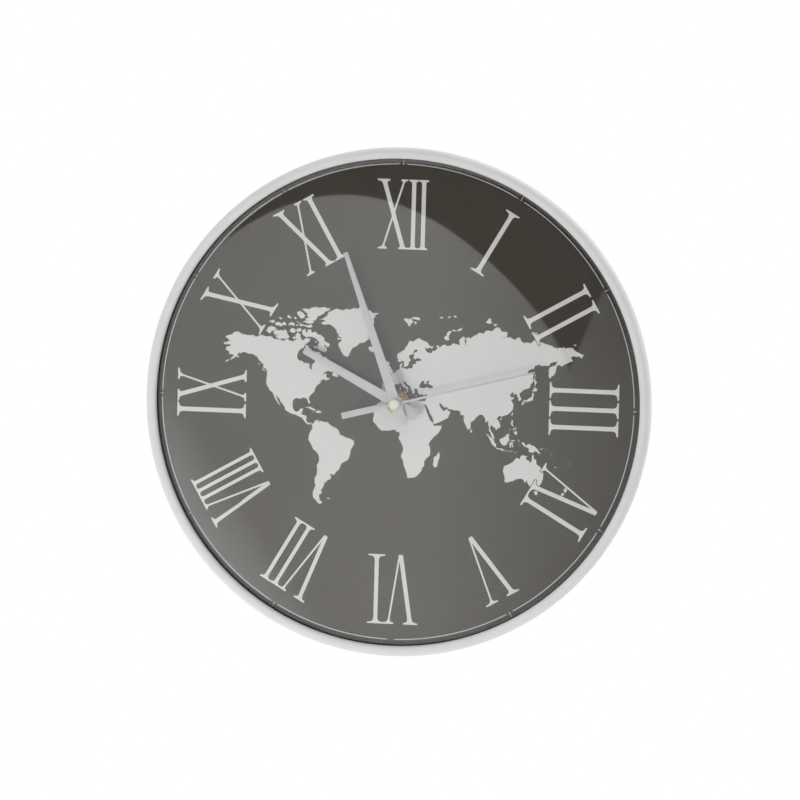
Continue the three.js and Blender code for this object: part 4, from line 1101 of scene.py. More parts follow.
COASTS: dict[str, str] = {
    "africa_and_eurasia": """
        -5.6 36, -6.4 36.8, -8.9 37, -8.8 38.5, -9.5 38.8, -8.8 40.2, -8.9 42, -9.3 43.1, -8 43.8,
        -5.8 43.7, -3.8 43.5, -1.8 43.4, -1.2 44.6, -1.1 46, -2.2 47.2, -4.4 47.9, -4.7 48.5, -3 48.8,
        -1.6 48.7, -1.9 49.7, 0.2 49.7, 1.6 50.9, 3.5 51.5, 4.6 52.8, 7 53.5, 8.6 54, 8.2 55.5, 8.2 57,
        10.6 57.7, 10.3 56.4, 9.7 55.2, 11 54.4, 13.5 54.5, 14.3 53.9, 16.5 54.5, 18.6 54.6, 19.9 54.5,
        21.1 55.7, 21.2 57.2, 22.6 57.7, 23.6 57, 24.4 57.9, 23.5 59.1, 28 59.6, 30 60, 28 60.6, 23 59.9,
        21.3 61, 21.6 63, 25.3 65, 24.2 65.8, 22 65.5, 21.5 64.3, 17.8 62.5, 17.2 60.8, 18.9 60, 17 58.7,
        16.5 57, 15.9 56.1, 14.3 55.5, 12.9 55.5, 12.3 56.8, 11.2 59, 10.5 59.3, 8 58.1, 5.6 58.8,
        5 61.5, 8 63.5, 11 65, 13 66.9, 15.3 68.5, 19 69.9, 24 71, 28 71.1, 31 70.3, 36 69.2, 41 67.5,
        40.5 66.5, 35 66.4, 32.5 67, 34.7 64.5, 38 64, 40.2 64.7, 40 65.6, 44 66.1, 44 68.5, 46.5 68.1,
        46.8 67, 53 68.8, 54 68.3, 59 69, 61 69.7, 65 69.2, 68 68.5, 66.8 70, 67 71.5, 69.5 73,
        72.5 72.8, 72 71, 72.3 69.5, 73.6 68.2, 74 70.5, 73 71.4, 75 72.7, 78 72.2, 80.5 73.5, 87 75,
        93 76, 100 76.4, 104.3 77.7, 107 76.5, 113 76, 113.5 73.8, 107 73.2, 113 73.4, 119 73,
        123.5 73.2, 127 73.5, 129.5 71.2, 133 71.5, 139.5 72.3, 141 72.8, 150 71.6, 152.5 70.9,
        160 69.7, 167 69.6, 170.5 70, 171 69, 176 69.8, 180 69, 184.5 67.3, 190.3 66.1, 187 64.4,
        181 65.3, 177.5 64.7, 179.3 62.9, 176 62, 172 60.9, 170.3 60, 166 60.3, 163.3 59.2, 163 57.8,
        163 56, 161.9 55, 160 53.2, 158.5 52.8, 156.7 51, 155.8 54, 155.6 56.8, 159 59.5, 163.8 61.9,
        164.5 62.5, 160.3 61.8, 155 59.4, 151 59.2, 143 59.3, 138.5 57, 135.2 54.7, 139.5 54.1,
        141.3 53.2, 140.5 50.5, 140.3 48.3, 138 46.3, 135 43.5, 132 43.2, 130.7 42.3, 129.7 41.3,
        127.5 39.7, 129.4 37, 129.4 35.4, 126.5 34.4, 126.5 36.8, 125 38, 125 39.6, 121.3 38.9,
        122 40.6, 121 40.8, 119 39.3, 117.7 38.9, 119 37.2, 122.5 37, 119.3 35, 121 32.5, 121.9 31.5,
        122 30, 121.5 28.2, 119.5 25.5, 117 23.6, 114 22.3, 110.5 21.2, 110.3 20.3, 109.7 21.5,
        108 21.6, 106.5 20.2, 105.7 18.8, 108.8 15.4, 109.3 12, 106.7 10.4, 104.8 8.6, 105 10.2,
        102.5 12, 100.9 13.4, 100 13.3, 99.3 10.5, 100.3 8.5, 102 6.5, 103.4 4.5, 103.5 2.5, 104.2 1.4,
        103.5 1.3, 101.3 2.9, 100.3 5.5, 98.4 8, 98.6 12, 97.7 15.5, 97.1 17, 95.4 15.8, 94.3 16,
        94.3 18.5, 92.4 20.7, 91.8 22.4, 90 21.9, 87 21.5, 86.9 20.6, 85 19.5, 82.3 16.6, 80.2 15.3,
        80.2 13, 79.8 10.3, 78.2 8.9, 77.5 8.1, 76.3 9.9, 74.9 12.9, 73.5 16, 72.8 19, 72.7 21.3,
        70.9 20.7, 69 22.2, 70.3 22.9, 67 24.9, 61.6 25.2, 57.3 25.7, 56.5 27.1, 54 26.6, 51.5 27.9,
        50 30.1, 48.5 30, 48 29.4, 49.5 27, 50.2 26, 51 24.8, 51.3 26, 51.6 25, 52 24.1, 54 24.1,
        56.2 26.2, 56.5 24.8, 58.7 23.6, 59.8 22.5, 58 20.3, 57.7 18.9, 55.2 17.4, 52.2 15.6, 48.5 14,
        45 12.8, 43.4 12.7, 42.8 15, 42.6 16.7, 40.8 19.7, 39.1 21.5, 38.5 23.7, 37 25.8, 35 28,
        34.9 29.5, 34.3 27.8, 33 29, 32.5 29.9, 33 28.3, 33.8 27, 35.5 24, 37.2 21, 37.2 19.5, 38.5 18,
        39.5 15.5, 41.2 14.6, 42.9 12.3, 43.3 11.5, 44.5 10.4, 47 11.2, 51.2 11.9, 50.8 9.4, 49 6.2,
        47.5 4, 45 1.9, 42 -1, 40.2 -2.8, 39 -5, 39.5 -7, 40.5 -10.5, 40.6 -15, 37 -17.8, 34.8 -19.9,
        35.5 -23.8, 32.8 -25.8, 32.8 -28, 31 -30, 28 -32.9, 25.7 -34, 22 -34.2, 20 -34.8, 18.3 -34,
        18.3 -32, 16.5 -28.7, 15 -26, 14.5 -22.5, 12 -18, 11.8 -16, 13.7 -11, 13 -8.5, 12.2 -6,
        9.5 -2.5, 8.8 -0.7, 9.6 1, 9.6 3.7, 8.6 4.6, 6 4.3, 4.5 6.3, 1 5.9, -2 4.8, -4.5 5.2, -7.6 4.4,
        -9.3 5.6, -11.5 7, -13.2 8.8, -13.8 9.8, -15 11, -16.8 12.4, -17.5 14.7, -16.5 16, -16.2 19,
        -17 21, -16 23.7, -14.5 26.2, -13 27.8, -11 28.8, -9.7 30, -9.8 31.5, -8.5 33.3, -6.8 34.1,
        -5.9 35.8, -5.3 35.9, -4.8 35.3, -2 35.1, 0 35.9, 3 36.9, 7 37, 10 37.3, 11 37, 10.6 35.5,
        10.1 34.2, 11 33.3, 15.2 32.3, 15.7 31.4, 19 30.3, 20 31, 20 32.5, 22 32.9, 23.2 32.2, 25 31.6,
        29 30.9, 31 31.6, 32.3 31.2, 34.2 31.3, 35 32.8, 35.9 34.8, 35.9 36.2, 36.1 36.8, 34.6 36.7,
        33 36.1, 30.7 36.8, 29.5 36.2, 27.5 36.8, 26.3 38.3, 26.8 39.3, 26.2 40.1, 26 40.6, 24 40.8,
        22.8 40.4, 23.8 39.9, 23 39, 24 38, 23.1 37.3, 22.8 36.6, 21.7 36.8, 21.2 38.2, 19.4 40.4,
        19.4 41.8, 18.5 42.5, 15.9 43.6, 14.5 45.2, 13.6 45.1, 13.5 45.7, 12.4 45.3, 12.4 44.2,
        13.6 43.6, 14.2 42.4, 16.1 41.8, 18.5 40.2, 17 40.5, 16.6 39.7, 17.1 39, 16 37.9, 15.7 38.3,
        16 39.5, 14.8 40.6, 13 41.2, 11 42.4, 10.2 43.8, 8.8 44.4, 7.5 43.7, 6 43.1, 4.5 43.4,
        3.1 43.1, 3.2 41.9, 0.8 40.8, -0.3 39.5, 0.1 38.7, -0.8 37.6, -2.1 36.7, -4.5 36.7, -5.3 36.1
    """,
    "black_sea": """
        28.2 41.3, 31.3 41.2, 35 42.1, 38.3 41, 41.5 41.6, 41.4 42.7, 39 44, 36.9 45.1, 38 46.4,
        39.2 47.2, 36.5 46.7, 35 46.1, 35.2 45.4, 36.2 45.2, 35.4 44.9, 33.7 44.4, 32.5 45.4, 33.6 46.1,
        31.2 46.6, 29.7 45.2, 28.6 43.8, 27.9 42.6
    """,
    "americas": """
        -168 65.6, -164 66.4, -162 66.2, -163 66.9, -166.3 68.4, -163 69.5, -156.6 71.3, -151 70.5,
        -141 69.7, -136 69.1, -133.5 69.6, -129 70, -124 69.6, -120 69.4, -115 68.3, -109.5 68,
        -108 67.3, -107.5 68.2, -102 67.8, -98 68, -96 68.3, -95.8 69.5, -95.3 71.8, -93 71.6,
        -92 69.8, -90.5 68.6, -88 68.2, -85.5 69.5, -82 69.4, -81.5 68, -84 66.9, -86 66.3, -87 65.6,
        -88 64.2, -91 63.2, -93.5 61.8, -94.7 60, -94.3 58.7, -92.5 57, -88.5 56.5, -85 55.3, -82.3 55,
        -82.2 52.9, -80.7 51.4, -79.3 51.5, -79 54.5, -77 55.8, -76.6 57.2, -78.5 58.7, -77.8 60,
        -77.5 62.4, -74 62.3, -71 61.2, -69.6 60.5, -69.5 58.9, -67.5 58.4, -65 60, -62 57.9, -60 55,
        -57.5 54.5, -56 52.6, -58.5 51.3, -60 50.2, -65 50.2, -67 49.4, -70 47.2, -66.5 49, -64.3 48.8,
        -65 47.5, -64 46.2, -61 45.5, -63.5 44.6, -66 43.6, -65.8 44.6, -64.7 45.4, -67 44.8, -70 43.7,
        -70.8 42.5, -70 41.8, -71.5 41.4, -74 40.6, -74.1 39.5, -75.5 38.3, -76 37, -75.7 35.3,
        -77.8 34, -81 32, -81.4 30.3, -80.1 27, -80.4 25.2, -81.8 26, -82.7 28, -83.8 29.9, -85.3 29.7,
        -88 30.3, -89.5 29.2, -91.5 29.4, -94.5 29.4, -97.2 27.7, -97.6 25, -97.8 22.3, -96.3 19.3,
        -94.5 18.2, -92 18.6, -90.6 19.8, -90.3 21, -87 21.5, -87.5 19.5, -88.3 18.2, -88.7 15.9,
        -86 15.9, -83.2 15, -83.6 12.5, -83.6 10.9, -82.2 9, -80 9.1, -79.5 9.5, -77.5 8.6, -76.8 8.2,
        -75.6 9.5, -75.3 10.8, -73.5 11.3, -71.6 12.3, -71.9 11, -71.4 9.5, -70.3 11.6, -68.2 10.7,
        -65 10.1, -62 10.7, -60.8 8.7, -58.5 7.3, -57 6, -54 5.8, -51.7 4.2, -50 1.8, -50 0, -48.4 -0.9,
        -44.4 -2.4, -41.5 -2.9, -38.5 -3.8, -35.4 -5.3, -34.9 -8, -37 -11, -39 -13.2, -39.2 -17.5,
        -40.8 -21.2, -41.9 -22.9, -44.5 -23.2, -48.3 -25.6, -48.7 -28.4, -50.5 -30.8, -53.5 -34,
        -55 -34.9, -58.2 -34, -57 -36.3, -58 -38.2, -62 -39, -62.3 -40.8, -65 -41, -63.8 -42.7,
        -65.5 -45, -67.5 -46.3, -65.8 -47.7, -69 -50.5, -68.4 -52.4, -65.2 -54.7, -67.3 -55.7,
        -71 -54.5, -74.5 -52, -75.5 -49, -74.5 -46.5, -72.8 -42.4, -73.6 -39.8, -73.5 -37.2,
        -71.7 -33.5, -71.5 -30, -70.4 -25, -70.2 -19, -71.5 -17.5, -75.8 -14.7, -77.2 -12, -79.5 -8,
        -81.2 -5.8, -80.2 -3.3, -80.9 -2.2, -80 0.5, -78.8 1.5, -77.3 4, -77.5 6.5, -78.2 8, -79.5 8.9,
        -80.3 8.3, -80 7.4, -81.6 7.6, -83 8.3, -84.8 9.8, -85.8 10.5, -87.5 12.9, -90 13.8, -92.2 14.5,
        -94.2 16.2, -96.5 15.7, -99.7 16.7, -104 18.9, -105.5 20.2, -105.6 22.5, -108.3 25.2,
        -110.5 27.5, -112.8 30, -114.7 31.7, -113.5 29, -111.5 26, -109.5 23.2, -112.2 25, -114 27.2,
        -115.2 28.5, -117.1 32.5, -118.5 34, -120.6 34.6, -122 36.8, -123.8 39.2, -124.3 40.4, -124 44,
        -124 46.3, -124.6 48.4, -122.8 48.9, -127.5 51, -130.3 54.6, -133.5 57.5, -137 58.6, -140 59.8,
        -144.5 60.1, -148 60.7, -151.8 59.3, -151 61, -153.5 59.3, -156.5 57.3, -160 55.6, -165 54.3,
        -168.5 53.2, -165 54.8, -161.5 56, -157.6 58, -158.5 58.8, -162 58.8, -162 60, -165.5 61.5,
        -164.8 63, -161 63.8, -161 64.6, -166.3 64.6
    """,
    "greenland": """
        -43.9 59.9, -45.6 60.6, -48.2 60.9, -49.4 62, -51.2 63.5, -51.6 64.6, -53.6 65.8, -53.2 66.9,
        -53.8 67.6, -51.4 68.4, -50.8 69.4, -51.9 69.8, -50.9 70.4, -54.6 70.7, -53.2 71.6, -55.6 72.6,
        -55.8 73.8, -58.4 75, -61.6 76, -68.4 76, -71 77, -67.4 77.6, -72.8 78.2, -67.6 79.2, -64.6 80.1,
        -65.4 80.7, -60.4 81.8, -54 82.3, -48 82, -45.6 82.6, -39.6 83.1, -30 83.6, -24.4 83.1, -31 82.2,
        -22.4 82.3, -20.6 81.4, -12.6 81.5, -17.6 80.4, -19.6 79, -18.4 77.4, -21.6 76.7, -19.6 75.2,
        -20.8 74.2, -22.8 72.9, -22 71.4, -25.4 70.6, -22.4 70.2, -25.8 69, -29 68.3, -32.6 68, -36.4 66,
        -40 65.2, -41 63.6, -42.8 62
    """,
    "disko": "-54.7 69.7, -53.4 69.3, -52 69.6, -53.6 70.2",
    "britain": """
        -5.7 50.1, -3.5 50.3, 1.4 51.2, 1.7 52.7, 0.3 53, -1.6 55.2, -3 56, -1.8 57.5, -4 57.7,
        -3.1 58.6, -5 58.6, -5.8 57.3, -5.6 56.3, -4.8 55, -3.2 54.9, -3 53.5, -4.6 53.2, -4.3 52.3,
        -5.2 51.8, -3 51.4, -4.2 51.1
    """,
    "ireland": "-6.2 53.3, -6.3 52.2, -9.8 51.5, -10 53.4, -8.5 54.3, -8.3 55.1, -6.2 55.2, -5.6 54.5",
    "iceland": """
        -22.7 63.8, -18.8 63.4, -14.8 64.4, -14.6 65.6, -16.2 66.5, -20.3 66.1, -22.4 66.4, -24.3 65.5,
        -21.8 64.4
    """,
    "novaya_zemlya": """
        51.5 71.8, 53 71, 57 70.6, 55.5 72.3, 56.5 73.8, 61 75.3, 69 76.5, 68 77, 60 76.2, 55.5 75.2,
        54 73.6
    """,
    "svalbard_west": """
        10.9 79.5, 12.4 78.9, 13.8 78.1, 15.4 77.1, 17 76.6, 17.6 77.6, 19.2 78.2, 21.4 78.8, 18.8 79.5,
        16.6 80, 15.6 79.4, 13.6 79.9
    """,
    "svalbard_east": "18.4 80.2, 20.6 79.6, 24.8 79.4, 27.2 80.1, 23.6 80.5, 21 80.4",
    "edge": "21.2 78.6, 24.4 78.3, 22.6 77.4",
    "franz_josef_west": "46 80.7, 48 80.4, 50 80.7, 48 81",
    "franz_josef_middle": "54 81, 56 80.6, 58 80.9, 56 81.3",
    "franz_josef_east": "60 81.2, 62 80.9, 63.5 81.2, 61.5 81.6",
    "severnaya_zemlya_north": "92 79.6, 95 81, 98 80.5, 97 79.8, 100 79.5, 96 79",
    "severnaya_zemlya_south": "99.4 79, 104.8 78.9, 101 78",
    "new_siberian_west": "137.5 75.7, 141 76.1, 145 75.5, 143 74.9, 139 74.8",
    "new_siberian_east": "146.4 75.4, 150.5 75.2, 147 74.8",
    "new_siberian_south": "140 73.4, 143.5 73.3, 141.5 73.9",
    "wrangel": "178.8 71, 181.5 71.5, 182.5 71.1, 180.5 70.8",
    "sakhalin": """
        142 54.3, 143.2 52.5, 143.3 49.5, 144.4 49, 142.7 47.3, 143.4 46.6, 142 46, 142 48.8, 141.8 51.5,
        142.2 53.6
    """,
    "hokkaido": "141.8 45.4, 145.3 44.2, 143.3 42, 141.2 42.4, 140.2 41.5, 140 42.8, 141.5 43.5",
    "honshu": """
        140.9 41.4, 142 39.6, 141 38.2, 140.8 35.8, 138.8 34.7, 136.8 34.4, 135.8 33.5, 135 34.6,
        132.3 34.1, 131 34, 132.6 35.4, 135.8 35.6, 136.8 37.3, 138.6 37.4, 140 39.5, 140.2 40.8
    """,
    "kyushu": "131 33.7, 131.9 33.2, 131.3 31.4, 130.3 31.2, 129.8 32.8",
    "shikoku": "132.5 33.8, 134.6 34.1, 134.2 33.3, 133 32.8",
    "taiwan": "121.6 25.2, 121.4 23.3, 120.8 22, 120.1 23.2, 121 25",
    "hainan": "108.7 19.3, 110.6 20.1, 110.4 18.7, 109.3 18.3",
    "sri_lanka": "79.9 9.6, 81.2 8.5, 81.8 7, 80.6 6, 79.8 7.2",
    "luzon": """
        120.6 18.5, 122.2 18.4, 121.5 15.9, 122 14.1, 124 12.8, 123.2 13, 121 13.7, 120.4 14.5, 120 16.2,
        120.4 17
    """,
    "visayas_west": "122 11.8, 123.2 11.5, 122.9 9.3, 122.2 10.6",
    "visayas_east": "124.4 12.5, 125.5 12.2, 125.1 10.3, 124.3 11",
    "mindanao": "122 7, 123.5 8.6, 125.4 9.7, 126.5 7.3, 125.6 5.8, 124 6.6, 123.5 7.6",
    "palawan": "117.3 8.4, 119.4 11, 119.7 10.4, 118 8.7",
    "borneo": """
        109 1.5, 111.2 2.4, 113 3.2, 115.2 5.2, 116.8 6.9, 119.1 5.2, 117.6 3.8, 118.9 1, 117.5 -0.8,
        116.3 -3, 114.5 -4, 111.8 -3.4, 110.1 -1.8, 109.1 0.3
    """,
    "sumatra": """
        95.3 5.6, 97.5 5.2, 100.4 2.8, 103.7 0, 104.6 -2.1, 106 -3, 105.8 -5.8, 104.5 -5.8, 102.3 -4,
        100.4 -1, 98.7 1.7
    """,
    "java": """
        105.2 -6.8, 106.8 -6.1, 108.6 -6.7, 111 -6.5, 112.7 -7, 114.5 -8, 114.3 -8.7, 110.5 -8.1,
        106.6 -7.4
    """,
    "sumbawa": "115 -8.3, 119 -8.3, 118.5 -8.9, 115.5 -8.8",
    "flores": "119.8 -8.4, 122.9 -8.3, 120.5 -8.9",
    "timor": "123.6 -10.2, 127 -8.4, 125 -9.5",
    "sumba": "119 -9.5, 120.8 -10.2, 119.5 -9.9",
    "sulawesi": """
        120.8 1.3, 123.2 0.9, 125.1 1.6, 124.4 0.4, 121 0.5, 120.1 -0.8, 121 -1.2, 123.3 -0.9,
        121.6 -1.9, 122.3 -3.5, 123 -5.3, 121.6 -4.6, 121 -2.8, 120.5 -3, 120.4 -5.5, 119.4 -5.4,
        119.5 -3.4, 118.8 -2.7, 119.8 -0.1
    """,
    "halmahera": "127.5 1.8, 128.6 1.2, 128 -0.6, 127.7 0.5",
    "seram": "128 -3.2, 130.8 -3.4, 129.5 -3",
    "new_guinea": """
        131 -0.8, 132.8 -0.4, 134.1 -0.9, 134.2 -2.4, 135.2 -3.3, 137.8 -1.6, 141 -2.6, 144.5 -3.9,
        145.8 -5.5, 147.8 -6.2, 147.2 -7.2, 149.5 -9.6, 150.8 -10.4, 147.2 -9.5, 144.5 -7.6, 143 -9.2,
        141 -9.1, 138.2 -8.3, 138.5 -6.5, 135.5 -4.4, 133 -4, 132.8 -2.8, 131.8 -2.2
    """,
    "new_britain": "148.4 -5.7, 150.8 -5.5, 152.2 -4.2, 151.5 -5.6, 149.8 -6.3",
    "bougainville": "154.7 -5.5, 155.8 -6.7, 155 -6.2",
    "new_georgia": "156.5 -6.8, 159.5 -8.5, 158.5 -8",
    "guadalcanal": "159.7 -9.4, 161.8 -10.3, 160.2 -9.8",
    "new_caledonia": "164 -20.2, 167 -22.3, 165.3 -21.5",
    "fiji": "177.5 -18.1, 178.6 -18, 179.5 -16.5",
    "australia": """
        114 -22, 113.4 -24.5, 113.8 -26.5, 115 -30, 115.7 -32, 115 -34.2, 118 -35, 120 -33.9,
        123.7 -33.9, 126 -32.3, 129 -31.6, 131.2 -31.5, 134.2 -32.8, 135.5 -34.7, 137.8 -32.7, 137 -35.2,
        138.2 -34.4, 138.5 -35.6, 140 -37, 143.5 -38.8, 145 -38.2, 146.4 -39.1, 150 -37.5, 150.8 -35,
        152.5 -32.3, 153.5 -28.7, 153.1 -25.5, 150.8 -23.2, 149 -20.7, 146.3 -18.9, 145.4 -15,
        143.7 -14.4, 143.5 -12.5, 142.5 -10.7, 141.7 -13, 141.6 -15.5, 140.8 -17.5, 139.2 -17.4,
        135.5 -15, 136 -13.4, 136.9 -12.2, 133 -11.7, 131 -12.2, 130.2 -13.5, 129.6 -15, 128 -14.8,
        126.8 -14, 124.5 -16, 122.2 -18.2, 119 -20, 116.8 -20.6
    """,
    "tasmania": "144.7 -40.7, 148.2 -40.9, 148 -43, 146.5 -43.6, 145.3 -42.5",
    "new_zealand_north": """
        172.7 -34.5, 175.3 -36.3, 176 -37.6, 178.5 -37.7, 177 -39.4, 175.3 -41.6, 174.9 -40, 173.8 -39.3,
        174.8 -38, 174.5 -36.6
    """,
    "new_zealand_south": """
        172.8 -40.6, 174.3 -41.7, 172.9 -43.7, 170.8 -45.8, 168.5 -46.6, 166.5 -45.9, 168.5 -44,
        171.3 -42.4
    """,
    "madagascar": """
        49.3 -12.1, 50.4 -15.7, 49.5 -18, 47.1 -25, 45.2 -25.5, 43.5 -23, 44.4 -20, 44.2 -17, 46.3 -15.7,
        48 -13.5
    """,
    "sicily": "12.5 37.9, 15.3 38.1, 15.1 36.7",
    "sardinia": "8.2 40.9, 9.7 40.9, 9.5 39.2, 8.5 39",
    "corsica": "8.7 42.4, 9.4 42.9, 9.4 41.5, 8.8 41.6",
    "crete": "23.6 35.4, 26.2 35.2, 24.7 35",
    "cyprus": "32.4 34.9, 34.4 35.6, 33.5 34.8",
    "zealand": "11.2 55.6, 12.3 56, 12.2 55.1, 11.3 55.2",
    "banks": """
        -125.8 72.2, -123.2 71.1, -121.4 71.4, -120.4 72.2, -117.6 72.9, -115.6 73.4, -117.6 74.2,
        -121.3 74.5, -124.6 74.2, -123.8 73.6
    """,
    "victoria": """
        -117.3 69.9, -114 69.3, -116.4 69, -113.4 68.5, -108 68.8, -105 68.9, -101.8 69.6, -103.2 70.3,
        -104.6 71, -105.2 72.4, -106.6 73.3, -108.3 73, -107.9 71.8, -109.4 72.8, -112 72.9, -114.3 72.6,
        -115.4 73.2, -118.4 72.5, -119 71.6, -115.6 71.5, -118.2 71, -117.4 70.6, -112.4 70.4
    """,
    "king_william": "-99.4 69.2, -98 69.9, -95.8 69.5, -96.6 68.7",
    "prince_of_wales": "-102.5 72.8, -100.6 71.9, -97.8 71.7, -96.6 72.7, -97.6 73.7, -100.8 73.8",
    "somerset": "-95.6 72.5, -93.2 72.1, -90.2 73, -91 74, -93.6 74, -95.5 73.7",
    "baffin": """
        -89.9 72, -88.8 73.4, -86.4 73.7, -86.2 72.6, -85.2 71.9, -84.5 72.7, -84.2 73.6, -81.2 73.7,
        -80.6 72.5, -77.6 72.7, -75.6 72.3, -74.4 71.6, -71.6 71.4, -70.6 70.6, -68.5 70.4, -67.2 69.4,
        -68 68.8, -66.4 68, -63.9 67.4, -61.8 66.7, -62.6 65.7, -64.4 65.1, -65.6 65.8, -67.6 66.4,
        -66.6 65.2, -65.2 64.4, -64.7 63.2, -65.2 62.6, -67 63.3, -68.7 63.8, -66.6 62.8, -65.9 61.9,
        -68.8 62.4, -71.8 63.2, -73.4 64.3, -77.8 64.4, -78 65, -74.6 64.9, -73.8 65.5, -73.8 66.3,
        -72.4 67.2, -73.2 68.3, -75 69, -77 69.8, -79.2 69.9, -81.5 70.1, -86.5 70.1, -88.9 70.7
    """,
    "prince_charles": "-77.2 67.9, -75.3 68.2, -75.2 67.3, -76.9 67.2",
    "ellesmere": """
        -89.4 76.5, -85 76.3, -80.8 76.2, -78.3 76.6, -79.8 77.3, -76 78.2, -75 79.2, -71 80, -68.2 80.8,
        -65 81.6, -62.4 82.5, -68 82.9, -77 83, -86 82.2, -91.2 81.7, -87.4 80.9, -83.8 80.4, -85.6 79.4,
        -83.6 78.8, -87.4 78.2, -84.4 77.5, -88 77.2
    """,
    "axel_heiberg": "-95.8 80.5, -92.6 81.2, -89.4 80.5, -87.2 79.6, -89 78.4, -92.6 78.4, -94.6 79.3",
    "devon": """
        -96.6 76.8, -93 76.5, -89.6 75.7, -86 75.5, -80.2 75.7, -79.8 74.7, -84 74.5, -91.8 74.8,
        -92.4 75.9
    """,
    "cornwallis": "-96.4 75.1, -94 74.8, -93.8 75.5, -95.8 75.6",
    "bathurst": "-104 75.2, -101 75.6, -98 75, -97.9 76.5, -100.8 76.7, -102.8 76.2",
    "melville": """
        -117.4 75.2, -113.6 75, -110 74.8, -106.2 75.1, -106 75.8, -108.4 76.6, -110.6 75.6, -113 76.3,
        -116.8 76.1
    """,
    "prince_patrick": "-123.8 76.2, -119.6 75.7, -116.4 76.5, -118.8 77.3, -122.2 76.9",
    "mackenzie_king": "-114.4 77.9, -111 77.5, -109.8 78.1, -113 78.6",
    "ellef_ringnes": "-105.4 79.2, -104.6 78.4, -100.6 77.9, -101.4 78.6, -103.4 79.3",
    "amund_ringnes": "-98 78.8, -95.8 78.4, -96.4 77.8, -97.8 78",
    "meighen": "-100.2 80, -98.8 79.8, -99.6 80.3",
    "southampton": "-87 63.7, -83.6 63.3, -80.4 63.8, -83.2 64.4, -84.2 65.6, -85.7 65.9, -86 64.9",
    "coats": "-84 62.5, -82 62.7, -83 62.2",
    "newfoundland": """
        -59.3 47.8, -55.5 46.9, -53 46.7, -53.5 48.5, -55.8 49.6, -55.6 51.5, -57.5 50.5, -58.8 48.6
    """,
    "vancouver": "-128.9 50.6, -127 50.1, -125.2 48.6, -127.4 49.5",
    "haida_gwaii": "-133 54, -131.7 54, -131.5 52.3",
    "kodiak": "-154.5 57.3, -152.3 57.6, -152.5 58.3",
    "cuba": "-84.9 21.9, -82.5 23.1, -80 22.9, -77 21.6, -74.2 20.2, -77.5 19.9, -78 20.8, -81.5 22.1",
    "hispaniola": "-74.4 18.4, -73.2 19.9, -69.9 19.7, -68.4 18.6, -71 18.2",
    "jamaica": "-78.3 18.3, -76.3 18, -77.3 18.6",
    "puerto_rico": "-67.2 18.4, -65.6 18.2, -66.5 18",
    "falklands": "-61 -51.9, -57.9 -51.6, -59.5 -52.2",
}


@dataclass
class WorldMap:
    """The printed land, on a projection that widens the far north and south."""

    degree: float = 0.597
    flattening: float = 0.4
    middle: float = -3.9
    rise: float = 0.667
    equator: float = -20.3
    chord: float = 0.8
    smooth_latitude: float = 32.0
    broken_latitude: float = 58.0
    smooth_bays: float = 0.18
    broken_bays: float = 0.27
    least_bay: float = 0.03

    def point(self, longitude: float, latitude: float) -> Point:
        """Returns a place on the dial from its longitude and latitude."""
        slope = math.tan(math.pi / 4 + self.flattening * math.radians(latitude))
        stretch = math.degrees(0.5 / self.flattening * math.log(slope))
        return (self.middle + self.degree * longitude, self.equator + self.rise * stretch)

    def bays(self, latitude: float) -> float:
        """Returns the depth of a coast's bays. The far north and south have the most broken coasts."""
        share = (abs(latitude) - self.smooth_latitude) / (self.broken_latitude - self.smooth_latitude)
        return self.smooth_bays + (self.broken_bays - self.smooth_bays) * min(1.0, max(0.0, share))

    def shore(self, start: Point, end: Point, depth: float, chance: random.Random) -> Outline:
        """Breaks a straight stretch of coast into small bays.

        Args:
            start: Its first point.
            end: Its last point.
            depth: The deepest bay, as a share of its length.
            chance: The seeded source of the bays.

        Returns:
            The points from the first one up to the last one, which is left out.
        """
        (ax, ay), (bx, by) = start, end
        if math.hypot(bx - ax, by - ay) < self.chord:
            return [start]
        lean = chance.uniform(-depth, depth)
        middle = ((ax + bx) / 2 - (by - ay) * lean, (ay + by) / 2 + (bx - ax) * lean)
        return [*self.shore(start, middle, depth, chance), *self.shore(middle, end, depth, chance)]

    def coast(self, name: str, places: Sequence[Point], others: Sequence[Outline]) -> Outline:
        """Draws one coast, with calmer bays on each stretch that would cross a coast.

        Args:
            name: The land's name, which seeds its bays.
            places: Longitude and latitude of its corners.
            others: The coasts that it may not cross.

        Returns:
            The coast's outline.
        """
        corners = [self.point(*place) for place in places]
        depths = [self.bays(latitude) for _, latitude in places]
        while True:
            stretches = []
            for step, (start, end) in enumerate(zip(corners, corners[1:] + corners[:1])):
                stretches.append(self.shore(start, end, depths[step], random.Random(f"{name} {step}")))
            outline = [point for stretch in stretches for point in stretch]
            owners = [step for step, stretch in enumerate(stretches) for _ in stretch]
            sides = [side for other in (outline, *others) for side in crossed_sides(outline, other)]
            crossed = {owners[side] for side in sides if depths[owners[side]] > 0}
            if not crossed:
                return outline
            for step in crossed:
                depths[step] = depths[step] / 2 if depths[step] > self.least_bay else 0.0

    def outlines(self) -> list[Outline]:
        """Draws every coast.

        Returns:
            One outline for each land or inner sea.
        """
        lands = {}
        for name, text in COASTS.items():
            lands[name] = [tuple(map(float, pair.split())) for pair in text.split(",")]
        drawn = [[self.point(*place) for place in places] for places in lands.values()]
        for order, (name, places) in enumerate(lands.items()):
            drawn[order] = self.coast(name, places, drawn[:order] + drawn[order + 1 :])
        return drawn


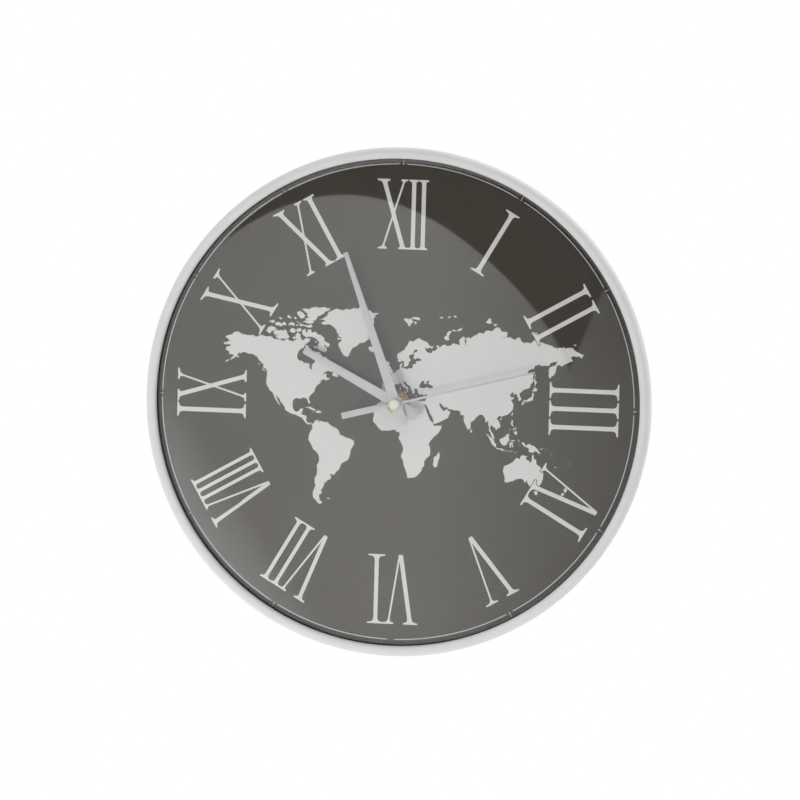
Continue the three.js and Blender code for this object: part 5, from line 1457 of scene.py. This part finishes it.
@dataclass
class Dial:
    """The dial: a thin disc with the printed map, numerals and broken chapter ring, and a black edge band
    that is part print and part painted shade of the seam under the lip.
    """

    radius: float = 146.4
    hole: float = 4.3
    rear: float = 24.7
    front: float = 25.3
    edge: float = 0.1
    ink: float = 0.04
    sink: float = 0.02
    numeral_inner: float = 90.0
    flipped_inner: float = 93.0
    print_turn: float = -0.55
    numeral_height: float = 41.0
    slab: float = 1.0
    bracket: float = 2.5
    keyline: float = 0.42
    keyline_margin: float = 1.0
    flipped_hour: int = 4
    chapter_radius: float = 140.0
    chapter_width: float = 0.42
    chapter_gap: float = 4.4
    chapter_steps: int = 30
    tick_width: float = 0.5
    tick_start: float = 139.6
    tick_end: float = 143.0
    no_tick: int = 6
    # Where the black edge band starts; the band is part print and part painted shade of the seam under
    # the lip.
    border_ink_and_shade: float = 140.8
    print_right: float = -0.3
    print_up: float = 0.2
    sides: int = 192

    def disc(self) -> None:
        """Turns the disc with its eased edges, and dresses it."""
        section = [
            (self.hole, self.rear),
            (self.radius - self.edge, self.rear),
            (self.radius, self.rear + self.edge),
            (self.radius, self.front - self.edge),
            (self.radius - self.edge, self.front),
            (self.hole + self.edge, self.front),
            (self.hole, self.front - self.edge),
            (self.hole, self.rear),
        ]
        disc = turned("dial_disc", section, self.sides)
        hang(disc)
        smoothed(disc)
        dress(disc, DIAL_COAT.material(), "housing", ["dial"])

    def numeral(self, hour: int) -> list[Outline]:
        """Draws a numeral at its hour: feet to the centre, apart from the one that is turned round.

        Args:
            hour: From 1 to 12.

        Returns:
            One outline for each stroke.
        """
        flipped = hour == self.flipped_hour
        inner = self.flipped_inner if flipped else self.numeral_inner
        outlines = []
        for stroke in [stroke for sign in NUMERALS[hour] for stroke in sign.strokes()]:
            outline = stroke.outline(self.numeral_height, self.slab, self.bracket)
            if flipped:
                outline = [(-x, self.numeral_height - y) for x, y in outline]
            outline = [(x, y + inner) for x, y in outline]
            outlines.append(rotated(outline, HOUR_ANGLE * hour))
        return outlines

    def chapter(self) -> list[Outline]:
        """Draws the chapter ring's arcs and the tick in each of its gaps.

        Returns:
            Twelve arcs, and the ticks.
        """
        inner = self.chapter_radius - self.chapter_width / 2
        outer = self.chapter_radius + self.chapter_width / 2
        gap = math.degrees(self.chapter_gap / 2 / self.chapter_radius)
        span, steps = HOUR_ANGLE - 2 * gap, self.chapter_steps
        outlines = []
        for hour in range(12):
            angles = [HOUR_ANGLE * hour + gap + span * step / steps for step in range(steps + 1)]
            arc = [polar(inner, angle) for angle in angles]
            outlines.append(arc + [polar(outer, angle) for angle in reversed(angles)])
            if hour == self.no_tick:
                continue
            half = self.tick_width / 2
            tick = [
                (-half, self.tick_start),
                (half, self.tick_start),
                (half, self.tick_end),
                (-half, self.tick_end),
            ]
            outlines.append(rotated(tick, HOUR_ANGLE * hour))
        return outlines

    def print_on(self, piece: Piece) -> None:
        """Turns a printed layer as the dial sits in the case, and dresses it."""
        piece.rotation_euler.z = -math.radians(self.print_turn)
        piece.location = (self.print_right, self.print_up, 0)
        settle(piece)
        hang(piece)
        dress(piece, PALE_INK.material(), "housing", [])

    def build(self) -> None:
        """Builds the disc and prints it."""
        self.disc()
        rear, front = self.front - self.sink, self.front + self.ink
        numerals = [outline for hour in NUMERALS for outline in self.numeral(hour)]
        land = plate("printed_map", WorldMap().outlines(), rear, front)
        low, high = rear - self.keyline_margin, front + self.keyline_margin
        edge = [plate("keyline", [grown(outline, self.keyline)], low, high) for outline in numerals]
        cut_out(land, united("keylines", edge))
        self.print_on(land)
        strokes = [plate("stroke", [outline], rear, front) for outline in numerals]
        self.print_on(united("printed_numerals", strokes))
        self.print_on(plate("printed_chapter_ring", self.chapter(), rear, front))
        # The black edge band out to the disc's rim: part print, part painted shade of the dark seam under
        # the ring's lip.
        inner, outer = self.border_ink_and_shade, self.radius - self.edge
        section = [(inner, rear), (outer, rear), (outer, front), (inner, front), (inner, rear)]
        band = turned("printed_border_and_seam_shade", section, self.sides)
        hang(band)
        dress(band, BLACK_INK_AND_SEAM_SHADE.material(), "housing", [])


@dataclass(frozen=True)
class Blade:
    """The tapered blade of one hand, and where it sits."""

    angle: float
    length: float
    tail: float
    base: float
    tip: float
    rear: float

    def outline(self) -> Outline:
        """Draws the blade.

        Returns:
            Its outline, pointing to twelve.
        """
        return [
            (-self.base / 2, -self.tail),
            (self.base / 2, -self.tail),
            (self.base / 2, 0),
            (self.tip / 2, self.length),
            (-self.tip / 2, self.length),
            (-self.base / 2, 0),
        ]


@dataclass
class Hands:
    """The three hands and the cap, with the nut and washer under them."""

    hour: Blade = Blade(angle=297.3, length=62.9, tail=14.0, base=6.2, tip=4.0, rear=29.6)
    minute: Blade = Blade(angle=339.4, length=93.4, tail=13.0, base=6.2, tip=2.7, rear=32.2)
    second_angle: float = 74.6
    second_length: float = 84.7
    second_tail: float = 32.7
    second_neck: float = 1.4
    second_tip: float = 0.9
    second_bar: float = 3.8
    second_bar_start: float = 11.0
    second_bar_shoulder: float = 0.5
    second_rear: float = 34.8
    hub: float = 4.6
    second_hub: float = 2.2
    collet: float = 1.9
    collet_bore: float = 0.4
    collet_edge: float = 0.2
    sheet: float = 0.7
    edge: float = 0.14
    cap_radius: float = 3.0
    cap_rear: float = 37.0
    cap_height: float = 2.4
    cap_shoulder: float = 0.45
    cap_edge: float = 0.2
    cap_pin: float = 0.3
    cap_steps: int = 10
    washer_radius: float = 7.0
    washer_rear: float = 25.6
    washer_front: float = 26.2
    washer_edge: float = 0.15
    nut_flats: float = 12.0
    nut_rear: float = 26.5
    nut_front: float = 28.7
    nut_edge: float = 0.22
    nut_bore: float = 4.3
    bore_sides: int = 48
    sides: int = 64

    def hand(
        self, body: str, name: str, outline: Outline, angle: float, hub: float, rear: float, front: float
    ) -> None:
        """Models a sheet hand with its collet, and dresses it.

        Args:
            body: The body that it rides on.
            name: The piece's name.
            outline: The blade's outline, pointing to twelve.
            angle: Where it points at rest.
            hub: Radius of its collet.
            rear: Height of the collet's rear end.
            front: Height of the blade's front face.
        """
        span = (rear, rear + self.collet)
        ring = collar(f"{body}_collet", hub, self.collet_bore, span, self.collet_edge, self.sides)
        blade = plate("blade", [rotated(outline, angle)], front - self.sheet, front)
        eased(blade, self.edge)
        hand = united(name, [blade, ring])
        hang(hand)
        smoothed(hand)
        dress(hand, SILVER_PAINT.material(), body, [f"{body}_hand"])

    def needle(self) -> Outline:
        """Draws the second hand.

        Returns:
            Its outline, pointing to twelve, with the bar for a tail.
        """
        half = [
            (self.second_bar / 2, -self.second_tail),
            (self.second_bar / 2, -self.second_bar_start),
            (self.second_neck / 2, -self.second_bar_start + self.second_bar_shoulder),
            (self.second_neck / 2, 0),
            (self.second_tip / 2, self.second_length),
        ]
        return half + [(-x, y) for x, y in reversed(half)]

    def build(self) -> None:
        """Builds the hands, the cap, the nut and the washer."""
        for body, blade in (("hour", self.hour), ("minute", self.minute)):
            front = blade.rear + self.collet
            self.hand(body, f"{body}_blade", blade.outline(), blade.angle, self.hub, blade.rear, front)
        rear, front = self.second_rear, self.second_rear + self.sheet
        self.hand(
            "second", "second_needle", self.needle(), self.second_angle, self.second_hub, rear, front
        )
        self.cap()
        self.fastening()

    def cap(self) -> None:
        """Turns the rounded cap over the end of the arbor."""
        top = self.cap_rear + self.cap_height
        shoulder = self.cap_rear + self.cap_height * self.cap_shoulder
        profile = [
            (self.cap_pin, self.cap_rear),
            (self.cap_radius - self.cap_edge, self.cap_rear),
            (self.cap_radius, self.cap_rear + self.cap_edge),
            *swept((self.cap_radius, shoulder), (self.cap_radius, top), (0.0, top), self.cap_steps),
        ]
        cap = turned("cream_cap", profile, self.sides)
        with editing(cap):
            bpy.ops.mesh.select_all(action="DESELECT")
            bpy.ops.mesh.select_non_manifold()
            bpy.ops.mesh.edge_face_add()
        close_up(cap)
        hang(cap)
        smoothed(cap)
        dress(cap, CREAM_PLASTIC.material(), "second", ["centre_cap"])

    def fastening(self) -> None:
        """Models the washer and the chamfered hexagon nut on the bush."""
        brass = BRASS.material()
        span = (self.washer_rear, self.washer_front)
        washer = collar(
            "brass_washer", self.washer_radius, self.nut_bore, span, self.washer_edge, self.sides
        )
        corner = self.nut_flats / math.sqrt(3)
        hexagon = [polar(corner, 60 * (side + 0.5)) for side in reversed(range(6))]
        bore = [polar(self.nut_bore, 360 * side / self.bore_sides) for side in range(self.bore_sides)]
        nut = plate("brass_nut", [hexagon, bore], self.nut_rear, self.nut_front)
        eased(nut, self.nut_edge)
        for piece, node in ((washer, "washer"), (nut, "hex_nut")):
            hang(piece)
            smoothed(piece)
            dress(piece, brass, "housing", [node])


@dataclass
class Cell:
    """The cell: a steel can with a nub, in a printed jacket with a pale band."""

    radius: float = 7.1
    half: float = 25.25
    nub_radius: float = 2.75
    nub_length: float = 1.4
    wall: float = 0.3
    crimp: float = 0.5
    band_start: float = 12.5
    drop: float = 24.54
    out: float = 11.1
    sides: int = 72

    def lay(self, piece: Piece) -> None:
        """Lays a piece that was turned upright along the cell bay, in the frame."""
        piece.rotation_euler.y = math.pi / 2
        piece.location = (0, -self.drop, self.out)
        settle(piece)
        hang(piece)
        smoothed(piece)

    def can(self) -> Piece:
        """Turns the steel can in two halves, with the nub on one and a dished base on the other.

        Returns:
            The can, a closed piece.
        """
        inner = self.radius - self.wall
        shoulder = self.half - self.nub_length
        dish = self.half - self.crimp
        upper = [
            (inner, 0),
            (inner, shoulder - self.crimp),
            (inner - self.crimp, shoulder - self.wall),
            (self.nub_radius + self.crimp, shoulder - self.wall),
            (self.nub_radius, shoulder),
            (self.nub_radius, self.half - self.wall),
            (self.nub_radius - self.wall, self.half),
            (0, self.half),
        ]
        lower = [
            (inner, 0),
            (inner, -dish),
            (inner - self.crimp, -dish),
            (inner - 2 * self.crimp, -self.half),
            (inner / 2, -self.half),
            (inner / 2 - self.crimp, -dish),
            (0, -dish),
        ]
        halves = [turned("can_upper", upper, self.sides), turned("can_lower", lower, self.sides)]
        return joined("cell_can", halves)

    def sleeve(self, name: str, start: float, end: float) -> Piece:
        """Turns one stretch of the jacket along the can, with its two rims rolled in."""
        inner, roll = self.radius - self.wall, self.wall / 2
        return collar(name, self.radius, inner, (start, end), roll, self.sides)

    def build(self) -> None:
        """Models the can and its jacket, and dresses them."""
        top = self.half - self.nub_length - self.crimp
        can = self.can()
        jacket = self.sleeve("cell_jacket", self.crimp - self.half, self.band_start)
        band = self.sleeve("cell_band", self.band_start, top)
        for piece in (can, jacket, band):
            self.lay(piece)
        dress(jacket, CELL_JACKET.material(), "housing", ["aa_cell"])
        dress(band, CELL_BAND.material(), "housing", [])
        dress(can, STEEL.material(), "housing", [])


@dataclass
class Back:
    """The pieces behind the dial: back plate, hanger, movement and knob."""

    plate_edge: float = 0.25
    case_edge: float = 0.4
    strap_edge: float = 0.12
    knob_edge: float = 0.2
    smooth_angle: float = 50.0
    knob_right: float = 11.796
    knob_up: float = 2.08
    knob_rear: float = 0.5
    slot_length: float = 8.4
    slot_width: float = 1.5
    slot_depth: float = 0.9
    slot_margin: float = 1.0
    slot_turn: float = 60.0

    def ease_node(
        self,
        node: str,
        name: str,
        edge: float,
        finish: Finish = BLACK_PLASTIC,
        body: str = "housing",
        cutter: Optional[Piece] = None,
    ) -> None:
        """Replaces a CAD node by a copy with eased edges.

        Args:
            node: The CAD node.
            name: The new piece's name.
            edge: How far its edges are rounded, in millimetres.
            finish: Its finish.
            body: The body that it rides on.
            cutter: What is cut out of it first.
        """
        piece = copied(node, name)
        if cutter:
            cut_out(piece, cutter)
        eased(piece, edge * MM)
        smoothed(piece, self.smooth_angle)
        evened(piece)
        dress(piece, finish.material(), body, [node])

    def coin_slot(self) -> Piece:
        """Models the cutter of the slot across the knob, which shows how far it has turned.

        Returns:
            The cutter, in the frame.
        """
        length, width = self.slot_length / 2, self.slot_width / 2
        outline = [(-length, -width), (length, -width), (length, width), (-length, width)]
        across = rotated(outline, self.slot_turn)
        moved = [(x + self.knob_right, y + self.knob_up) for x, y in across]
        rear, front = self.knob_rear - self.slot_margin, self.knob_rear + self.slot_depth
        cutter = plate("slot", [moved], rear, front)
        hang(cutter)
        return cutter

    def build(self) -> None:
        """Dresses every piece behind the dial."""
        self.ease_node("back_plate", "ribbed_back", self.plate_edge)
        self.ease_node("movement_case", "movement_box", self.case_edge)
        self.ease_node("movement_cover", "movement_lid", self.case_edge)
        cutter = self.coin_slot()
        self.ease_node("setting_knob", "fluted_knob", self.knob_edge, body="setting", cutter=cutter)
        self.ease_node("hanger", "hanger_strap", self.strap_edge, STEEL)
        inside = {
            STEEL: [
                "contact_positive",
                "contact_negative",
                "quartz_crystal",
                "stator",
                "coil_core",
                "rotor_magnet",
            ],
            WHEEL_PLASTIC: [
                "seconds_wheel",
                "rotor_pinion",
                "intermediate_wheel",
                "third_wheel",
                "centre_wheel",
                "motion_wheel",
                "hour_wheel",
                "coil_bobbin",
            ],
            BRASS: ["minute_pipe"],
            COPPER: ["coil_winding"],
            BOARD: ["circuit_board"],
            BLACK_PLASTIC: ["driver_chip"],
            RUBBER: ["gasket"],
        }
        for finish, nodes in inside.items():
            for node in nodes:
                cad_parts[node].material_slots[0].material = finish.material()
                log.info("%s: %s", node, finish.name)


# The studio


@dataclass
class Studio:
    """Camera, lights, surroundings and floor."""

    azimuth: float = 8.6
    elevation: float = 5.1
    distance: float = 4.5
    roll: float = 2.1
    lens: float = 344.6
    sensor: float = 36.0
    view_end: float = 100.0
    rim_height: float = 25.1
    frame_right: float = 1.2
    frame_up: float = 1.45
    key_azimuth: float = -29.0
    key_elevation: float = -20.0
    key_distance: float = 1.5
    key_size: float = 0.5
    key_power: float = 9.4
    fill: float = 0.0
    backdrop: float = 0.92
    overhead: float = 0.6
    overhead_lean: float = 0.3
    panel_azimuth: float = -14.4
    panel_elevation: float = -9.1
    panel_radius: float = 28.5
    panel_flat: float = 0.65
    panel_turn: float = 40.0
    panel_flats: float = 4.0
    panel_blur: float = 0.15
    rising_range: Point = (-32.0, -14.0)
    rising_level: Point = (1.24, 1.42)
    falling_range: Point = (-4.0, 20.0)
    falling_level: Point = (1.42, 0.62)
    hot_heading: Point = (-0.85, -0.53)
    hot_range: Point = (33.5, 43.0)
    hot_level: Point = (0.0, 1.55)
    wall_azimuth: float = 12.9
    wall_lean: float = 0.4
    wall_blur: float = 0.2
    dimming_range: Point = (-5.0, 5.0)
    dimming_level: Point = (1.0, 0.64)
    darkest: float = 0.02
    around_range: Point = (-0.42, -0.25)
    around_level: float = 0.8
    floor_drop: float = 1.1
    floor_radius: float = 5.5
    floor_sides: int = 96

    @staticmethod
    def towards(azimuth: float, elevation: float) -> Vector:
        """Returns the unit vector from the clock to an azimuth and elevation in degrees."""
        a, e = math.radians(azimuth), math.radians(elevation)
        return Vector((math.sin(a) * math.cos(e), -math.cos(a) * math.cos(e), math.sin(e)))

    def camera(self) -> None:
        """Places the camera at the photograph's angle, with its long lens and slight roll."""
        back = self.towards(self.azimuth, self.elevation)
        turn = (-back).to_track_quat("-Z", "Y") @ Quaternion((0, 0, 1), math.radians(self.roll))
        aim = Vector((0, -self.rim_height * MM, 0))
        aim += turn @ Vector((self.frame_right * MM, self.frame_up * MM, 0))
        data = bpy.data.cameras.new("camera")
        data.lens = self.lens
        data.sensor_width = self.sensor
        data.clip_end = self.view_end
        camera = bpy.data.objects.new("camera", data)
        camera.location = aim + back * self.distance
        camera.rotation_mode = "QUATERNION"
        camera.rotation_quaternion = turn
        bpy.context.collection.objects.link(camera)
        bpy.context.scene.camera = camera
        bpy.context.scene.view_settings.view_transform = "Standard"

    def key_light(self) -> None:
        """Places the wide soft light below and to the left."""
        away = self.towards(self.key_azimuth, self.key_elevation)
        data = bpy.data.lights.new("key", "AREA")
        data.shape = "DISK"
        data.size = self.key_size
        data.energy = self.key_power
        light = bpy.data.objects.new("key", data)
        light.location = away * self.key_distance
        light.rotation_mode = "QUATERNION"
        light.rotation_quaternion = (-away).to_track_quat("-Z", "Y")
        light.visible_glossy = False
        light.visible_transmission = False
        bpy.context.collection.objects.link(light)

    def panel(self, wiring: Wiring, azimuth: Socket, elevation: Socket, glow: Socket) -> Socket:
        """Wires the round panel before the clock, with its sides a little flat and a hot lower left.

        Args:
            wiring: The world's nodes.
            azimuth: Where gloss looks, across.
            elevation: Where gloss looks, upwards.
            glow: How bright that azimuth is.

        Returns:
            The panel's light.
        """
        across = wiring.math("SUBTRACT", azimuth, self.panel_azimuth)
        along = wiring.math("SUBTRACT", elevation, self.panel_elevation)
        squares = wiring.math("ADD", wiring.math("POWER", across, 2.0), wiring.math("POWER", along, 2.0))
        heading = wiring.math("ARCTAN2", across, along)
        turn = wiring.math("SUBTRACT", heading, math.radians(self.panel_turn))
        flat = wiring.math("COSINE", wiring.math("MULTIPLY", turn, self.panel_flats))
        flattened = wiring.math("MULTIPLY", flat, self.panel_flat)
        reach = wiring.math("ADD", wiring.math("SQRT", squares), flattened)
        edge = (self.panel_radius - self.panel_blur, self.panel_radius + self.panel_blur)
        inside = wiring.spread(reach, edge, (1.0, 0.0))
        right, up = self.hot_heading
        sideways = wiring.math("MULTIPLY", azimuth, right)
        lower_left = wiring.math("ADD", sideways, wiring.math("MULTIPLY", elevation, up))
        hot = wiring.spread(lower_left, self.hot_range, self.hot_level)
        return wiring.math("MULTIPLY", inside, wiring.math("ADD", glow, hot))

    def wall(self, wiring: Wiring, azimuth: Socket, elevation: Socket, glow: Socket) -> Socket:
        """Wires the wall to the right of the panel, which dims upwards.

        Args:
            wiring: The world's nodes.
            azimuth: Where gloss looks, across.
            elevation: Where gloss looks, upwards.
            glow: How bright that azimuth is.

        Returns:
            The wall's light.
        """
        leaning = wiring.math("MULTIPLY", elevation, self.wall_lean)
        past = wiring.math("SUBTRACT", azimuth, wiring.math("ADD", leaning, self.wall_azimuth))
        wall = wiring.spread(past, (-self.wall_blur, self.wall_blur), FULL)
        dimming = wiring.spread(elevation, self.dimming_range, self.dimming_level)
        return wiring.math("MULTIPLY", wall, wiring.math("MULTIPLY", glow, dimming))

    def strength(self, wiring: Wiring) -> Socket:
        """Wires how bright the world is: white to the camera, a room to gloss, and soft to the rest.

        Args:
            wiring: The world's nodes.

        Returns:
            The world's strength.
        """
        place = wiring.add("ShaderNodeTexCoord")
        split = wiring.add("ShaderNodeSeparateXYZ")
        wiring.feed(split.inputs[0], place.outputs["Generated"])
        x, y, z = split.outputs
        azimuth = wiring.math("DEGREES", wiring.math("ARCTAN2", x, wiring.math("MULTIPLY", y, -1.0)))
        elevation = wiring.math("DEGREES", wiring.math("ARCSINE", z))
        rising = wiring.spread(azimuth, self.rising_range, self.rising_level)
        falling = wiring.spread(azimuth, self.falling_range, self.falling_level)
        glow = wiring.math("MINIMUM", rising, falling)
        panel = self.panel(wiring, azimuth, elevation, glow)
        wall = self.wall(wiring, azimuth, elevation, glow)
        front = wiring.math("ADD", wiring.math("MAXIMUM", panel, wall), self.darkest)
        around = wiring.spread(y, self.around_range, FULL)
        room = wiring.math("ADD", wiring.math("MULTIPLY", around, self.around_level), front)
        leaning = wiring.math("MULTIPLY", x, self.overhead_lean)
        above = wiring.math("MULTIPLY", wiring.math("ADD", leaning, z), self.overhead)
        behind = wiring.spread(y, (-1.0, 0.0), (self.fill, self.backdrop))
        path = wiring.add("ShaderNodeLightPath").outputs
        direct = wiring.math("LESS_THAN", path["Diffuse Depth"], 0.5)
        through = wiring.math("MULTIPLY", path["Is Transmission Ray"], direct)
        glossy = wiring.math("MAXIMUM", path["Is Glossy Ray"], through)
        lit = wiring.choose(glossy, wiring.math("ADD", behind, above), room)
        return wiring.choose(path["Is Camera Ray"], lit, 1.0)

    def surroundings(self) -> None:
        """Builds the world: white behind the clock, and a room of panels for what gloss reflects."""
        world = bpy.data.worlds.new("room")
        bpy.context.scene.world = world
        world.use_nodes = True
        world.node_tree.nodes.clear()
        wiring = Wiring(world.node_tree)
        background = wiring.add("ShaderNodeBackground")
        background.inputs["Color"].default_value = (1, 1, 1, 1)
        wiring.feed(background.inputs["Strength"], self.strength(wiring))
        output = wiring.add("ShaderNodeOutputWorld")
        wiring.feed(output.inputs["Surface"], background.outputs[0])

    def floor(self) -> None:
        """Lays the pale floor well below the clock."""
        clear_selection()
        bpy.ops.mesh.primitive_circle_add(
            vertices=self.floor_sides,
            radius=self.floor_radius,
            fill_type="NGON",
            location=(0, 0, -self.floor_drop),
        )
        floor = named("floor")
        settle(floor)
        floor.data.materials.append(PALE_FLOOR.material())
        floor.visible_glossy = False
        floor.visible_transmission = False

    def build(self) -> None:
        """Sets up the whole studio."""
        self.camera()
        self.key_light()
        self.surroundings()
        self.floor()


def main() -> None:
    """Builds the clock's looks in order."""
    logging.basicConfig(level=logging.INFO, format="%(name)s %(message)s")
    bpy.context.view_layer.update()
    for assembly in (Studio(), FrameRing(), Lens(), Dial(), Hands(), Back(), Cell()):
        assembly.build()


if __name__ == "__main__":
    main()
